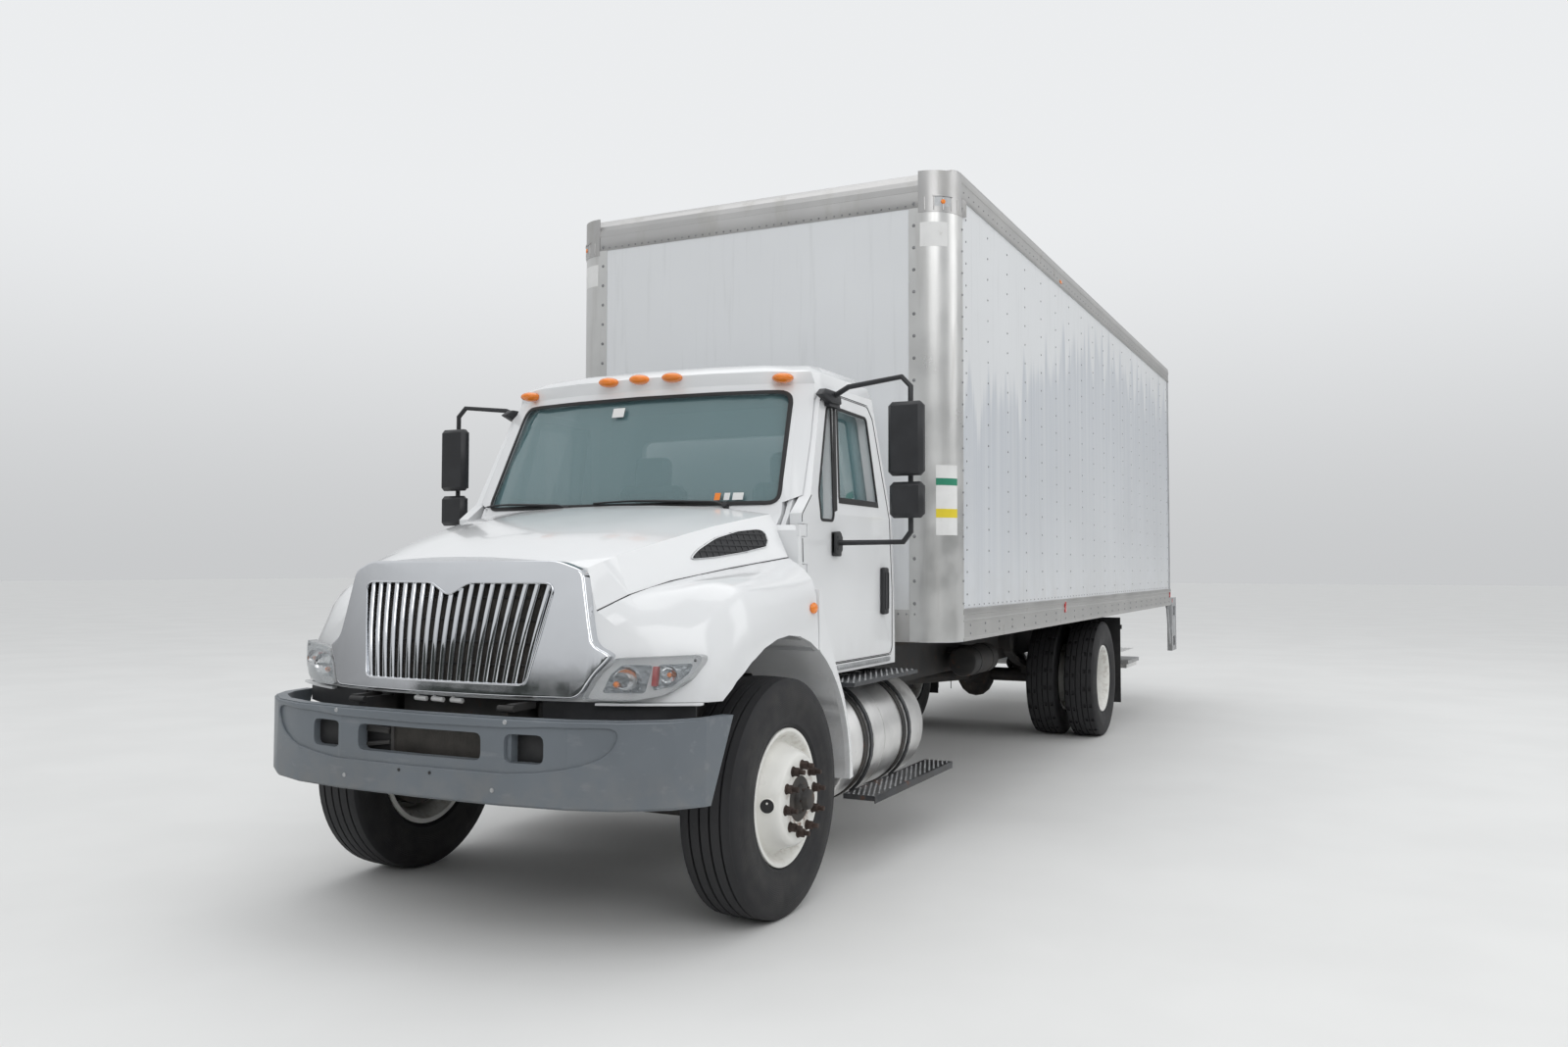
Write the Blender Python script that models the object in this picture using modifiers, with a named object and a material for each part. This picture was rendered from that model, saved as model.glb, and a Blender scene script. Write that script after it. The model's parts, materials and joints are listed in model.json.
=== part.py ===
"""Box truck with a conventional cab, a 26 ft van body and a tuck-under lift gate.

Metres, +Z up. The truck faces -Y and its left (driver's) side is +X. The sizes below are
measured from the front axle; the ORIGIN empty then sets the whole truck so that the world
origin is at the centre of its footprint, on the ground.
"""

import math

import bmesh
import bpy
from mathutils import Matrix, Vector

# Fits and clearances
GAP = 0.0003
RUNNING_GAP = 0.006
OVERLAP = 0.004

# Overall layout, from the front axle
FRONT_OVERHANG = 1.060
REAR_END = 10.20
WHEELBASE = 6.395

# Tyres and rims
TYRE_R = 0.520
TYRE_WIDTH = 0.280
TYRE_FACES = 28
RIM_FACES = 18
RIM_SEAT_R = 0.286
RIM_FLANGE_R = 0.2985
RIM_WIDTH = 0.228
RIM_WALL = 0.011
RIM_WELL_R = 0.252
DISC_OFFSET = 0.168
FRONT_TYRE_X = 1.010
DUAL_MID_X = 0.910
DUAL_SPACING = 0.340
AXLE_Z = TYRE_R * math.cos(math.pi / TYRE_FACES)
SPINDLE_R = 0.030
HUB_TUBE_R = 0.045
PIN_FACES = 20
SPINDLE_FACES = 16

# Steering
KINGPIN_X = 0.862
KINGPIN_R = 0.020
STEER_ARM_X = 0.800
STEER_ARM_Y = 0.200
TIE_ROD_Z = 0.425

# Chassis frame
RAIL_OUTER_X = 0.432
RAIL_WEB = 0.0095
RAIL_FLANGE = 0.089
RAIL_BOTTOM_Z = 0.710
RAIL_TOP_Z = 0.970
FRAME_FRONT_Y = -0.830
FRAME_REAR_Y = 9.300

# Bumper
BUMPER_BOTTOM_Z = 0.600
BUMPER_TOP_Z = 0.935
BUMPER_WALL = 0.045

# Cab
CAB_FLOOR_Z = 0.990
CAB_WALL = 0.050
FIREWALL_Y = 0.315
FIREWALL_BOW = 0.004
CAB_SIDE_X = 1.030
BELT_Z = 1.780
TUMBLEHOME = 0.118
DOOR_THICKNESS = 0.060
GLASS = 0.006
GLASS_MARGIN = 0.020

# Hood
HOOD_REAR_Y = 0.300
HOOD_HEM_Z = 0.985
HOOD_WALL = 0.028
HOOD_PIVOT_Y = -0.985
HOOD_PIVOT_Z = 0.962
HOOD_BRACKET_X = (0.352, 0.392)
ARCH_R = TYRE_R + 0.170
ARCH_Y = -0.030
ARCH_Z = 0.530
FENDER_X = 1.155
LINER = 0.020
LINER_TOP = 72
SPLASH_TOP = 60
SPLASH_LOW = -3

# Grille and lamps
GRILLE_BARS = 19
NOSE_STAND_OFF = 0.0008
GRILLE_TOP_Z = 1.455
GRILLE_BOTTOM_Z = 1.045

# Van body
BODY_HALF_WIDTH = 1.300
BODY_FRONT_Y = 1.750
BODY_REAR_Y = 9.700
BODY_BOTTOM_Z = 2 * TYRE_R + 0.050
BODY_TOP_Z = BODY_BOTTOM_Z + 2.730
BODY_WALL = 0.040
POST_R = 0.190
RAIL_BAND = 0.185
FLOOR_Z = BODY_BOTTOM_Z + 0.140
FLOOR_THICKNESS = 0.040
ROOF_BAND = 0.140
DOOR_POST = 0.100
REAR_SILL = 0.140

# Lift gate
ARM_PIVOT_Y = 8.620
ARM_PIVOT_Z = 0.660
ARM_END_Y = 9.420
ARM_END_Z = 0.560
ARM_PIVOT_R = 0.028
ARM_END_R = 0.020
GATE_POST = 0.055

FRONT_AXLE_Y = (FRONT_OVERHANG - REAR_END) / 2


def clear_scene():
    for obj in list(bpy.data.objects):
        bpy.data.objects.remove(obj, do_unlink=True)


def new_collection(name, helper=False):
    collection = bpy.data.collections.new(name)
    bpy.context.scene.collection.children.link(collection)
    collection.hide_render = helper
    return collection


def material(name, colour, roughness, metallic=0.0, alpha=1.0):
    made = bpy.data.materials.new(name)
    made.use_nodes = True
    shader = made.node_tree.nodes["Principled BSDF"]
    shader.inputs["Base Color"].default_value = (*colour, 1.0)
    shader.inputs["Roughness"].default_value = roughness
    shader.inputs["Metallic"].default_value = metallic
    shader.inputs["Alpha"].default_value = alpha
    made.diffuse_color = (*colour, 1.0)
    return made


def object_from(mesh_builder):
    """A helper object in the cutters' collection, holding what a bmesh builder left."""
    mesh = bpy.data.meshes.new("shape")
    mesh_builder.to_mesh(mesh)
    mesh_builder.free()
    made = bpy.data.objects.new("shape", mesh)
    made.hide_render = True
    made.display_type = "WIRE"
    CUTTERS.objects.link(made)
    return made


def block(low, high, bevel=0.0):
    """A box between two corners, its edges rounded when a bevel is given."""
    builder = bmesh.new()
    bmesh.ops.create_cube(builder, size=1.0)
    size = [b - a for a, b in zip(low, high)]
    middle = [(a + b) / 2 for a, b in zip(low, high)]
    bmesh.ops.scale(builder, vec=size, verts=builder.verts)
    bmesh.ops.translate(builder, vec=middle, verts=builder.verts)
    if bevel:
        bmesh.ops.bevel(
            builder, geom=builder.edges[:], offset=bevel, segments=1, profile=0.5,
            affect="EDGES", material=-1,
        )
    return object_from(builder)


def rod(start, end, radius, faces=12, end_radius=None):
    """A round bar or cone from one point to another."""
    start = Vector(start)
    along = Vector(end) - start
    builder = bmesh.new()
    bmesh.ops.create_cone(
        builder, cap_ends=True, segments=faces, radius1=radius,
        radius2=radius if end_radius is None else end_radius, depth=along.length,
    )
    turn = along.to_track_quat("Z", "Y").to_matrix().to_4x4()
    bmesh.ops.transform(
        builder, matrix=Matrix.Translation(start + along / 2) @ turn, verts=builder.verts
    )
    return object_from(builder)


def evaluated_mesh(obj):
    graph = bpy.context.evaluated_depsgraph_get()
    mesh = bpy.data.meshes.new_from_object(obj.evaluated_get(graph))
    builder = bmesh.new()
    builder.from_mesh(mesh)
    bmesh.ops.remove_doubles(builder, verts=builder.verts, dist=0.00001)
    builder.to_mesh(mesh)
    builder.free()
    return mesh


def plate(outline, normal, start, end, holes=()):
    """A flat outline with holes, drawn as a 2D curve and extruded from start to end along
    the axis named by normal. Outline points are given in the two other axes, in XYZ order."""
    curve = bpy.data.curves.new("outline", "CURVE")
    curve.dimensions = "2D"
    curve.fill_mode = "BOTH"
    curve.extrude = abs(end - start) / 2
    for points in (outline, *holes):
        spline = curve.splines.new("POLY")
        spline.points.add(len(points) - 1)
        for point, (u, v) in zip(spline.points, points):
            point.co = (u, v, 0.0, 1.0)
        spline.use_cyclic_u = True
    drawn = bpy.data.objects.new("outline", curve)
    CUTTERS.objects.link(drawn)
    mesh = evaluated_mesh(drawn)
    bpy.data.objects.remove(drawn, do_unlink=True)
    middle = (start + end) / 2
    if normal == "Z":
        place = Matrix.Translation((0, 0, middle))
    elif normal == "X":
        place = Matrix(((0, 0, 1, middle), (1, 0, 0, 0), (0, 1, 0, 0), (0, 0, 0, 1)))
    else:
        place = Matrix(((1, 0, 0, 0), (0, 0, -1, middle), (0, 1, 0, 0), (0, 0, 0, 1)))
    builder = bmesh.new()
    builder.from_mesh(mesh)
    bmesh.ops.transform(builder, matrix=place, verts=builder.verts)
    bmesh.ops.recalc_face_normals(builder, faces=builder.faces)
    return object_from(builder)


def tube(points, radius, faces=2):
    """A bent round bar: a poly curve with a bevel and filled caps, made a mesh."""
    curve = bpy.data.curves.new("bar", "CURVE")
    curve.dimensions = "3D"
    curve.bevel_depth = radius
    curve.bevel_resolution = faces
    curve.use_fill_caps = True
    spline = curve.splines.new("POLY")
    spline.points.add(len(points) - 1)
    for point, place in zip(spline.points, points):
        point.co = (*place, 1.0)
    drawn = bpy.data.objects.new("bar", curve)
    CUTTERS.objects.link(drawn)
    mesh = evaluated_mesh(drawn)
    bpy.data.objects.remove(drawn, do_unlink=True)
    builder = bmesh.new()
    builder.from_mesh(mesh)
    bmesh.ops.recalc_face_normals(builder, faces=builder.faces)
    return object_from(builder)


def turned(profile, faces, centre, phase=0.0):
    """A closed profile of (radius, distance outboard) turned about the X axis at centre."""
    area = sum(
        a[0] * b[1] - b[0] * a[1] for a, b in zip(profile, profile[1:] + profile[:1])
    )
    points = profile if area < 0 else profile[::-1]
    mesh = bpy.data.meshes.new("profile")
    turn = Matrix.Rotation(phase, 3, "Z")
    places = [turn @ Vector((radius, 0.0, along)) for radius, along in points]
    edges = [(n, n + 1) for n in range(len(places) - 1)]
    if points[0][0] > 0 or points[-1][0] > 0:
        edges.append((len(places) - 1, 0))
    mesh.from_pydata(places, edges, [])
    drawn = bpy.data.objects.new("profile", mesh)
    CUTTERS.objects.link(drawn)
    screw = drawn.modifiers.new("turn", "SCREW")
    screw.axis = "Z"
    screw.steps = faces
    screw.render_steps = faces
    screw.use_merge_vertices = True
    screw.merge_threshold = 0.0001
    turned_mesh = evaluated_mesh(drawn)
    bpy.data.objects.remove(drawn, do_unlink=True)
    builder = bmesh.new()
    builder.from_mesh(turned_mesh)
    to_x = Matrix(((0, 0, 1, 0), (0, 1, 0, 0), (-1, 0, 0, 0), (0, 0, 0, 1)))
    bmesh.ops.transform(
        builder, matrix=Matrix.Translation(centre) @ to_x, verts=builder.verts
    )
    bmesh.ops.recalc_face_normals(builder, faces=builder.faces)
    return object_from(builder)


def close_end(builder, loop, strip):
    """Closes one end of a loft: with one face, or with a strip of faces between the loop's
    first half and its second, which then holds a curved end's shape."""
    if not strip:
        builder.faces.new(loop)
        return
    half = len(loop) // 2
    top = loop[: half + 1]
    low = [loop[0], *loop[:half:-1], loop[half]]
    for n in range(half):
        corners = [top[n], top[n + 1], low[n + 1], low[n]]
        builder.faces.new(list(dict.fromkeys(corners)))


def loft(rings, strip=False):
    """A closed solid through rings that all have the same number of points."""
    builder = bmesh.new()
    loops = [[builder.verts.new(point) for point in ring] for ring in rings]
    count = len(loops[0])
    for lower, upper in zip(loops, loops[1:]):
        for n in range(count):
            after = (n + 1) % count
            builder.faces.new((lower[n], lower[after], upper[after], upper[n]))
    close_end(builder, loops[0], strip)
    close_end(builder, loops[-1], strip)
    bmesh.ops.recalc_face_normals(builder, faces=builder.faces)
    bmesh.ops.triangulate(builder, faces=builder.faces)
    return object_from(builder)


def combine(first, others, operation):
    """One Boolean for each other shape, applied to the first; the others are removed."""
    for other in others:
        step = first.modifiers.new(operation, "BOOLEAN")
        step.operation = operation
        step.solver = "EXACT"
        step.object = other
        mesh = evaluated_mesh(first)
        first.modifiers.clear()
        first.data = mesh
        bpy.data.objects.remove(other, do_unlink=True)
    return first


def join(shapes):
    return combine(shapes[0], shapes[1:], "UNION")


def cut(shape, cutters):
    return combine(shape, cutters, "DIFFERENCE")


def common(shape, other):
    return combine(shape, [other], "INTERSECT")


def copy_of(shape):
    made = bpy.data.objects.new("shape", shape.data.copy())
    made.hide_render = True
    made.display_type = "WIRE"
    CUTTERS.objects.link(made)
    return made


def lean_in(shape):
    """Bends a side piece inwards above the belt line, as the cab's sides do."""
    builder = bmesh.new()
    builder.from_mesh(shape.data)
    bmesh.ops.bisect_plane(
        builder, geom=builder.verts[:] + builder.edges[:] + builder.faces[:],
        plane_co=(0, 0, BELT_Z), plane_no=(0, 0, 1),
    )
    for vert in builder.verts:
        vert.co.x -= max(0.0, vert.co.z - BELT_Z) * TUMBLEHOME
    builder.to_mesh(shape.data)
    builder.free()
    return shape


def mirror_shape(shape):
    made = copy_of(shape)
    builder = bmesh.new()
    builder.from_mesh(made.data)
    bmesh.ops.scale(builder, vec=(-1, 1, 1), verts=builder.verts)
    bmesh.ops.reverse_faces(builder, faces=builder.faces)
    builder.to_mesh(made.data)
    builder.free()
    return made


def finish(name, shape, finish_material, pivot=(0, 0, 0), smooth=True):
    """Makes a helper shape the named sub-part, with its own origin at the pivot."""
    mesh = shape.data
    mesh.name = name
    mesh.transform(Matrix.Translation(-Vector(pivot)))
    mesh.materials.clear()
    mesh.materials.append(finish_material)
    if smooth:
        mesh.shade_smooth()
        mesh.set_sharp_from_angle(angle=math.radians(32))
    made = bpy.data.objects.new(name, mesh)
    made.location = pivot
    made.parent = ORIGIN
    PARTS.objects.link(made)
    bpy.data.objects.remove(shape, do_unlink=True)
    return made


def finish_pair(name, left_shape, finish_material, pivot=(0, 0, 0)):
    right_shape = mirror_shape(left_shape)
    finish(name + "_left", left_shape, finish_material, pivot)
    finish(name + "_right", right_shape, finish_material, (-pivot[0], pivot[1], pivot[2]))


def bore_for(pin_radius, faces):
    """The radius of a faceted bore whose flats clear a pin by the fitting gap."""
    return (pin_radius + GAP) / math.cos(math.pi / faces)


def arc(centre, radius, first, last, steps):
    """Points on a circle, in degrees from the first axis towards the second."""
    points = []
    for n in range(steps + 1):
        angle = math.radians(first + (last - first) * n / steps)
        points.append(
            (centre[0] + radius * math.cos(angle), centre[1] + radius * math.sin(angle))
        )
    return points


def rounded(corners, radius, steps=3):
    """A polygon's corners rounded by short arcs that start and end a radius from each."""
    points = []
    count = len(corners)
    for n, corner in enumerate(corners):
        here = Vector(corner)
        before = (Vector(corners[n - 1]) - here)
        after = (Vector(corners[(n + 1) % count]) - here)
        reach = min(radius, before.length * 0.45, after.length * 0.45)
        start = here + before.normalized() * reach
        end = here + after.normalized() * reach
        for k in range(steps + 1):
            t = k / steps
            spot = start * (1 - t) ** 2 + here * 2 * t * (1 - t) + end * t ** 2
            points.append((spot.x, spot.y))
    return points


# Tyres and wheels

def tyre_profile():
    half = TYRE_WIDTH / 2
    flat = math.cos(math.pi / TYRE_FACES)
    bead = (RIM_SEAT_R + GAP) / flat
    lip = (RIM_FLANGE_R + 0.002) / flat
    seat = RIM_WIDTH / 2 - RIM_WALL - GAP
    outer = [
        (bead, seat), (lip, seat), (lip + 0.050, half - 0.004),
        (TYRE_R - 0.032, half - 0.010), (TYRE_R, half - 0.036),
    ]
    inner = [(bead, -seat + 0.035), (TYRE_R - 0.060, -half + 0.045)]
    mirrored_outer = [(r, -o) for r, o in reversed(outer)]
    mirrored_inner = [(r, -o) for r, o in reversed(inner)]
    return outer + mirrored_outer + inner + mirrored_inner


def make_tyres():
    phase = math.pi / TYRE_FACES
    outer_x = DUAL_MID_X + DUAL_SPACING / 2
    inner_x = DUAL_MID_X - DUAL_SPACING / 2
    places = (
        ("front_tyre", FRONT_TYRE_X, 0.0),
        ("rear_tyre_outer", outer_x, WHEELBASE),
        ("rear_tyre_inner", inner_x, WHEELBASE),
    )
    for name, x, y in places:
        centre = (x, y, AXLE_Z)
        shape = turned(tyre_profile(), TYRE_FACES, centre, phase)
        finish_pair(name, shape, RUBBER, centre)


def rim_section(middle, disc_side):
    """The barrel of one rim as profile points, from its disc's outboard face round to its
    inboard face. disc_side is +1 where the disc bulges outboard, -1 where inboard."""
    half = RIM_WIDTH / 2
    d = disc_side
    well = RIM_WELL_R - RIM_WALL
    return [
        (well, middle + d * 0.030), (well, middle - d * 0.050),
        (RIM_SEAT_R - 0.010, middle - d * half),
        (RIM_FLANGE_R, middle - d * half), (RIM_FLANGE_R, middle - d * (half - 0.010)),
        (RIM_SEAT_R, middle - d * (half - RIM_WALL)), (RIM_WELL_R, middle - d * 0.055),
        (RIM_WELL_R, middle + d * 0.042), (RIM_SEAT_R, middle + d * (half - RIM_WALL)),
        (RIM_FLANGE_R, middle + d * (half - 0.010)), (RIM_FLANGE_R, middle + d * half),
        (RIM_SEAT_R - 0.010, middle + d * half), (well + 0.002, middle + d * 0.044),
    ]


def hand_holes(x_low, x_high, y, radius, hole_radius, count):
    holes = []
    for n in range(count):
        angle = 2 * math.pi * (n + 0.5) / count
        hole_y = y + radius * math.cos(angle)
        hole_z = AXLE_Z + radius * math.sin(angle)
        holes.append(rod((x_low, hole_y, hole_z), (x_high, hole_y, hole_z), hole_radius, 8))
    return holes


def make_front_wheels():
    """Front rim, its bulged disc and the hub with its drum, as one turned piece."""
    bore = bore_for(SPINDLE_R, RIM_FACES)
    face = DISC_OFFSET
    barrel = rim_section(0.0, 1)
    hub = [
        (0.0, face + 0.075), (0.050, face + 0.075), (0.060, face + 0.060),
        (0.066, face + 0.006), (0.110, face + 0.006), (0.110, face + 0.012),
        (0.185, face + 0.012), (0.204, face - 0.006), (0.232, face - 0.095),
    ]
    inner = [
        (0.222, face - 0.102), (0.194, face - 0.016), (0.180, face - 0.002),
        (0.120, face - 0.002), (0.120, face - 0.080), (0.206, face - 0.090),
        (0.206, -0.055), (0.190, -0.055), (0.190, face - 0.108),
        (0.105, face - 0.104), (0.075, -0.030), (bore, -0.030), (bore, face + 0.020),
        (0.0, face + 0.020),
    ]
    profile = hub + barrel[::-1] + inner
    centre = (FRONT_TYRE_X, 0.0, AXLE_Z)
    shape = turned(profile, RIM_FACES, centre)
    low = FRONT_TYRE_X + face - 0.075
    shape = cut(shape, hand_holes(low, low + 0.15, 0.0, 0.2125, 0.016, 5))
    finish_pair("front_wheel", shape, WHEEL_PAINT, centre)


def make_rear_wheels():
    """Both rims of a twin wheel, bolted disc to disc on one hub with its drum."""
    bore = bore_for(HUB_TUBE_R, RIM_FACES)
    outer_mid = DUAL_SPACING / 2
    outer = rim_section(outer_mid, -1)
    inner = rim_section(-outer_mid, 1)
    hub = [
        (0.0, 0.150), (0.060, 0.150), (0.066, 0.100), (0.102, 0.094),
        (0.104, 0.016), (0.194, 0.014), (0.232, 0.105),
    ]
    between = [(0.205, 0.0)]
    back = [
        (0.232, -0.105), (0.194, -0.016), (0.120, -0.016), (0.120, -0.066),
        (0.206, -0.070), (0.206, -0.230), (0.190, -0.230), (0.190, -0.085),
        (0.080, -0.082), (0.080, -0.160), (bore, -0.160), (bore, 0.060), (0.0, 0.060),
    ]
    profile = hub + outer + between + list(reversed(inner)) + back
    centre = (DUAL_MID_X, WHEELBASE, AXLE_Z)
    shape = turned(profile, RIM_FACES, centre)
    finish_pair("rear_wheel", shape, WHEEL_PAINT, centre)


# Chassis

def rail_outline():
    """C section of the left rail in X and Z, its flanges pointing to the middle."""
    outer = RAIL_OUTER_X
    web = RAIL_OUTER_X - RAIL_WEB
    tip = RAIL_OUTER_X - RAIL_FLANGE
    low = RAIL_BOTTOM_Z
    top = RAIL_TOP_Z
    return [
        (outer, low), (outer, top), (tip, top), (tip, top - RAIL_WEB),
        (web, top - RAIL_WEB), (web, low + RAIL_WEB), (tip, low + RAIL_WEB), (tip, low),
    ]


SHAFT_FRONT_Y = 1.160
SHAFT_FRONT_Z = 0.800
PINION_Y = WHEELBASE - 0.340
PINION_Z = AXLE_Z + 0.012
SHAFT_MIDDLE_Y = (SHAFT_FRONT_Y + PINION_Y) / 2
SHAFT_MIDDLE_Z = (SHAFT_FRONT_Z + PINION_Z) / 2
SHAFT_R = 0.050
BEARING_R = 0.080
FRONT_SPRING_X = 0.390
REAR_SPRING_X = 0.500
SPRING_HALF_WIDTH = 0.038
FRONT_SPRING_ENDS = (-0.690, 0.720)
REAR_SPRING_ENDS = (WHEELBASE - 0.680, WHEELBASE + 0.680)
FRONT_SPRING_END_Z = 0.640
REAR_SPRING_END_Z = 0.800


def make_frame():
    left = plate(rail_outline(), "Y", FRAME_FRONT_Y, FRAME_REAR_Y)
    right = mirror_shape(left)
    web = RAIL_OUTER_X - RAIL_WEB / 2
    shapes = [left]
    # crossmember front y, depth, bottom z, top z
    members = (
        (-0.710, 0.050, 0.722, 0.800), (1.900, 0.070, 0.840, 0.950),
        (SHAFT_MIDDLE_Y - 0.030, 0.060, SHAFT_MIDDLE_Z + BEARING_R + GAP, 0.950),
        (5.000, 0.070, 0.730, 0.950), (7.000, 0.070, 0.730, 0.950),
        (9.220, 0.070, 0.730, 0.950),
    )
    for y, depth, low, top in members:
        shapes.append(block((-web, y, low), (web, y + depth, top)))
    shapes.append(right)
    for side in (1, -1):
        for y in FRONT_SPRING_ENDS:
            shapes.append(
                block(
                    (side * FRONT_SPRING_X - SPRING_HALF_WIDTH, y - 0.05,
                     FRONT_SPRING_END_Z + GAP),
                    (side * FRONT_SPRING_X + SPRING_HALF_WIDTH, y + 0.05,
                     RAIL_BOTTOM_Z + OVERLAP),
                )
            )
        for y in REAR_SPRING_ENDS:
            low_x = min(side * (RAIL_OUTER_X - OVERLAP), side * 0.538)
            high_x = max(side * (RAIL_OUTER_X - OVERLAP), side * 0.538)
            shapes.append(
                block((low_x, y - 0.05, REAR_SPRING_END_Z + GAP), (high_x, y + 0.05, 0.93))
            )
        bracket_low, bracket_high = sorted(side * x for x in HOOD_BRACKET_X)
        shapes.append(
            block((bracket_low, HOOD_PIVOT_Y + 0.006, 0.900),
                  (bracket_high, FRAME_FRONT_Y + 0.03, RAIL_TOP_Z - 0.001))
        )
        shapes.append(
            rod((bracket_low, HOOD_PIVOT_Y, HOOD_PIVOT_Z),
                (bracket_high, HOOD_PIVOT_Y, HOOD_PIVOT_Z), 0.013)
        )
    finish("chassis_frame", join(shapes), CHASSIS_BLACK)


def leaf_spring(x, ends, end_z, seat_z, thickness, y_middle):
    """A leaf pack as a curved strip in Y and Z, thicker over the axle."""
    half_span = (ends[1] - ends[0]) / 2
    lower = []
    upper = []
    steps = 8
    for n in range(steps + 1):
        t = -1 + 2 * n / steps
        y = y_middle + t * (half_span + 0.03)
        rise = (end_z - seat_z - 0.012) * t * t
        depth = thickness * (1 - 0.8 * abs(t))
        upper.append((y, seat_z + 0.012 + rise))
        lower.append((y, seat_z + rise - depth))
    outline = upper + lower[::-1]
    return plate(outline, "X", x - SPRING_HALF_WIDTH + 0.002, x + SPRING_HALF_WIDTH - 0.002)


def make_front_axle():
    beam_low = 0.395
    beam_top = 0.490
    shapes = [block((-0.68, -0.045, beam_low), (0.68, 0.045, beam_top), 0.012)]
    spring_seat_z = 0.560
    for side in (1, -1):
        outline = [
            (side * 0.66, beam_low + 0.008), (side * 0.80, 0.458), (side * 0.90, 0.462),
            (side * 0.90, 0.560), (side * 0.80, 0.556), (side * 0.66, beam_top - 0.008),
        ]
        shapes.append(plate(outline, "Y", -0.038, 0.038))
        shapes.append(
            rod((side * KINGPIN_X, 0, 0.4605), (side * KINGPIN_X, 0, 0.5615), 0.047, 12)
        )
        spring = leaf_spring(
            side * FRONT_SPRING_X, FRONT_SPRING_ENDS, FRONT_SPRING_END_Z, spring_seat_z,
            0.060, sum(FRONT_SPRING_ENDS) / 2,
        )
        shapes.append(spring)
        shapes.append(
            block((side * FRONT_SPRING_X - 0.045, -0.07, beam_top - 0.01),
                  (side * FRONT_SPRING_X + 0.045, 0.07, spring_seat_z - 0.01))
        )
    axle = join(shapes)
    bores = [
        rod((side * KINGPIN_X, 0, 0.40), (side * KINGPIN_X, 0, 0.60),
            bore_for(KINGPIN_R, PIN_FACES), PIN_FACES)
        for side in (1, -1)
    ]
    finish("front_axle", cut(axle, bores), CHASSIS_BLACK)


def make_knuckles():
    """The yoke round the axle's eye, the kingpin, the spindle and the steering arm."""
    yoke = block((KINGPIN_X - 0.040, -0.048, 0.405), (0.972, 0.048, 0.620), 0.010)
    throat = block(
        (KINGPIN_X - 0.10, -0.06, 0.4605 - RUNNING_GAP),
        (KINGPIN_X + 0.047 + RUNNING_GAP, 0.06, 0.5615 + RUNNING_GAP),
    )
    yoke = cut(yoke, [throat])
    shapes = [
        yoke,
        rod((KINGPIN_X, 0, 0.410), (KINGPIN_X, 0, 0.615), KINGPIN_R, PIN_FACES),
        rod((0.960, 0, AXLE_Z), (1.190, 0, AXLE_Z), SPINDLE_R, SPINDLE_FACES),
        tube([(0.880, 0.030, 0.425), (0.855, 0.110, TIE_ROD_Z),
              (STEER_ARM_X, STEER_ARM_Y, TIE_ROD_Z)], 0.018, 1),
        rod((STEER_ARM_X, STEER_ARM_Y, TIE_ROD_Z - 0.022),
            (STEER_ARM_X, STEER_ARM_Y, TIE_ROD_Z + 0.018), 0.024, 12),
    ]
    finish_pair("steering_knuckle", join(shapes), CHASSIS_BLACK, (KINGPIN_X, 0.0, AXLE_Z))


def make_tie_rod():
    """The cross tube. Its left end turns on the left arm's ball; its right end is open."""
    z = TIE_ROD_Z - 0.056
    shapes = [rod((-STEER_ARM_X, STEER_ARM_Y, z), (STEER_ARM_X, STEER_ARM_Y, z), 0.017, 10)]
    for side in (1, -1):
        top = TIE_ROD_Z - 0.0228
        shapes.append(
            rod((side * STEER_ARM_X, STEER_ARM_Y, z - 0.022),
                (side * STEER_ARM_X, STEER_ARM_Y, top), 0.024, 12)
        )
    finish("tie_rod", join(shapes), CHASSIS_BLACK, (STEER_ARM_X, STEER_ARM_Y, z))


def make_rear_axle():
    tube_end = DUAL_MID_X + 0.050
    shapes = [rod((-0.640, WHEELBASE, AXLE_Z), (0.640, WHEELBASE, AXLE_Z), 0.062, 12)]
    builder = bmesh.new()
    bmesh.ops.create_uvsphere(builder, u_segments=12, v_segments=8, radius=0.215)
    bmesh.ops.scale(builder, vec=(0.85, 0.75, 1.0), verts=builder.verts)
    bmesh.ops.translate(builder, vec=(0, WHEELBASE, AXLE_Z), verts=builder.verts)
    shapes.append(object_from(builder))
    shapes.append(
        rod((0.01, WHEELBASE - 0.10, PINION_Z), (0.01, PINION_Y, PINION_Z), 0.125, 12, 0.070)
    )
    for side in (1, -1):
        shapes.append(
            rod((side * 0.60, WHEELBASE, AXLE_Z), (side * tube_end, WHEELBASE, AXLE_Z),
                HUB_TUBE_R, SPINDLE_FACES)
        )
        seat_z = 0.640
        shapes.append(
            leaf_spring(side * REAR_SPRING_X, REAR_SPRING_ENDS, REAR_SPRING_END_Z, seat_z,
                        0.050, WHEELBASE)
        )
        shapes.append(
            block((side * REAR_SPRING_X - 0.045, WHEELBASE - 0.07, AXLE_Z + 0.02),
                  (side * REAR_SPRING_X + 0.045, WHEELBASE + 0.07, seat_z - 0.01))
        )
    finish("rear_axle", join(shapes), CHASSIS_BLACK)


def make_drive_shaft():
    slope = (SHAFT_FRONT_Z - PINION_Z) / (PINION_Y - SHAFT_FRONT_Y)
    end_gap = SHAFT_R * slope + GAP
    start = Vector((0.01, SHAFT_FRONT_Y + end_gap, SHAFT_FRONT_Z - slope * end_gap))
    end = Vector((0.01, PINION_Y - end_gap, PINION_Z + slope * end_gap))
    centre = Vector((0.01, SHAFT_MIDDLE_Y, SHAFT_MIDDLE_Z))
    bearing_half = Vector((0, 0.025, 0))
    shapes = [
        rod(start, end, SHAFT_R, 12),
        rod(centre - bearing_half, centre + bearing_half, BEARING_R, 12),
    ]
    finish("drive_shaft", join(shapes), CHASSIS_BLACK)


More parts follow.
